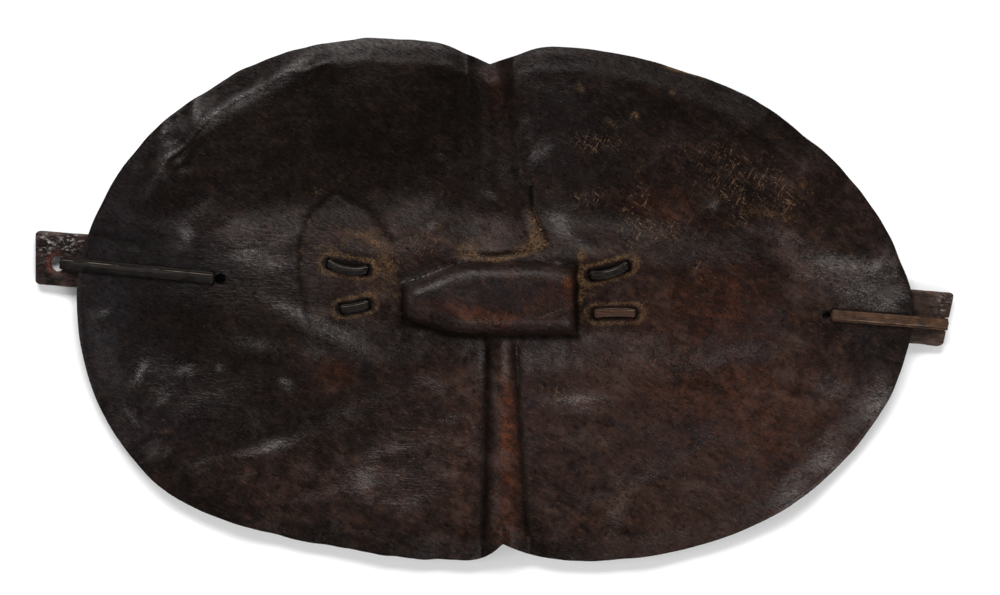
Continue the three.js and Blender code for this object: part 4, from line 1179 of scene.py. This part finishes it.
for side, material, kind in (("left", dark_thong, "thong"), ("right", worn_thong, "worn_thong")):
    thong = END_THONGS[side]
    strip = sweep_thong(side + "_end_strip", end_thong_knots(thong["outer"], thong["slot"]),
                        END_THONG_WIDTH, END_THONG_THICKNESS, 0.4, material)
    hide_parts(side + "_end_thong")
    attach(strip, "root")

# Grip lashings: one narrow thong on each side of the hand runs over the hide above the grip,
# through a slit and round the back of the grip, and over the hide again below it.

LASHING_LIFT = 0.6 + LASHING_THICKNESS / 2


def wrap(start, end):
    """Points of a lashing behind the hide, from one slit round the back of the grip to the other."""
    def half(place):
        x, y = place
        middle = float(stave_y(x))
        side = math.copysign(1, y - middle)
        top, bottom, corner = float(stave_top(x)), float(stave_bottom(x)), float(stave_corner(x))
        edge = float(stave_half_width(x)) + LASHING_LIFT
        reach = corner + LASHING_LIFT
        flat = float(stave_half_width(x)) - corner
        along = np.array([2, float(stave_y(x + 1) - stave_y(x - 1)), float(bed_z(x + 1) - bed_z(x - 1))])
        along = along / np.linalg.norm(along)
        slanting = np.array([1, 1, 0]) / math.sqrt(2)
        diagonal = reach * math.sqrt(0.5)
        below = [(edge, top - corner), (edge, bottom + corner), (flat + diagonal, bottom + corner - diagonal),
                 (flat, bottom - LASHING_LIFT - 1.2)]
        points = [(np.array([x, y, float(hide_back(x, y)) - LASHING_WIDTH / 2]), slanting)]
        return points + [(np.array([x, middle + side * out, z]), along) for out, z in below]
    return half(start) + half(end)[::-1]


def lashing_run(start, end, bow):
    turn = plan_turn(start, end)
    ahead = np.array([math.cos(turn), math.sin(turn), 0])
    sign = math.copysign(1, ahead[0])
    across = np.array([-ahead[1], ahead[0], 0]) * sign
    on_hide = lay_on(hide_front, start, end, np.linspace(0.14, 0.86, 7), LASHING_WIDTH, LASHING_LIFT, bow)
    return [
        (np.array([*start, float(hide_back(*start)) - 0.5]), across),
        *bend(start, float(hide_front(*start)) + LASHING_LIFT, UP, ahead, LASHING_LIFT, across),
        *[(at, sideways * sign) for at, sideways in on_hide],
        *bend(end, float(hide_front(*end)) + LASHING_LIFT, ahead, DOWN, LASHING_LIFT, across),
        (np.array([*end, float(hide_back(*end)) - 0.5]), across),
    ]


BOWS = {"left": (-4, 1), "right": (3, 1)}

for side, runs in LASHINGS.items():
    upper, lower = runs["upper"], runs["lower"]
    knots = [
        *lashing_run(upper[0], upper[1], BOWS[side][0]),
        *wrap(upper[1], lower[1]),
        *lashing_run(lower[1], lower[0], BOWS[side][1]),
        *wrap(lower[0], upper[0]),
    ]
    strip = sweep_thong(side + "_grip_strip", knots, LASHING_WIDTH - 1, LASHING_THICKNESS, 0.15, dark_thong)
    lx, ly, _ = coordinates(strip)
    add_attribute(strip, "wear", ease(4, -4, ly) * (lx > 0))
    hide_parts(side + "_grip_lashing")
    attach(strip, "root")

# Floor, light and camera: the shield lies on a pale floor under soft studio light, and the camera
# looks straight down on it.

floor = new_object("floor", [(-6, -6, 0), (6, -6, 0), (6, 6, 0), (-6, 6, 0)], [(0, 1, 2, 3)])
material, tree, shader, place = new_material("floor_paper")
tree.links.new(blend(tree, noise(tree, place, 3), (0.9, 0.9, 0.9, 1), (0.94, 0.94, 0.94, 1)),
               shader.inputs["Base Color"])
shader.inputs["Roughness"].default_value = 0.9
shader.inputs["Specular IOR Level"].default_value = 0.0
floor.data.materials.append(material)


def soft_light(name, place, size, power):
    data = bpy.data.lights.new(name, "AREA")
    data.shape, data.size, data.size_y, data.energy = "RECTANGLE", size[0], size[1], power
    lamp = bpy.data.objects.new(name, data)
    bpy.context.scene.collection.objects.link(lamp)
    lamp.location = place
    lamp.rotation_euler = (Vector((0, 0, 0)) - Vector(place)).to_track_quat("-Z", "Y").to_euler()


soft_light("key", (-0.3, 2.6, 2.4), (3.2, 1.5), 190)
soft_light("fill", (1.5, -2.4, 2.2), (2.6, 1.6), 95)
soft_light("side_fill", (-2.8, -0.2, 2.2), (1.4, 2.2), 24)

world = bpy.data.worlds.new("studio")
bpy.context.scene.world = world
world.use_nodes = True
world.node_tree.nodes["Background"].inputs["Color"].default_value = (1, 1, 1, 1)
world.node_tree.nodes["Background"].inputs["Strength"].default_value = 0.15

camera_data = bpy.data.cameras.new("camera")
camera_data.sensor_width = 36
camera_data.lens = 36 * 4.0
camera = bpy.data.objects.new("camera", camera_data)
bpy.context.scene.collection.objects.link(camera)
camera.location = (0.005, 0.002, 4.03)
bpy.context.scene.camera = camera
bpy.context.scene.view_settings.view_transform = "Standard"
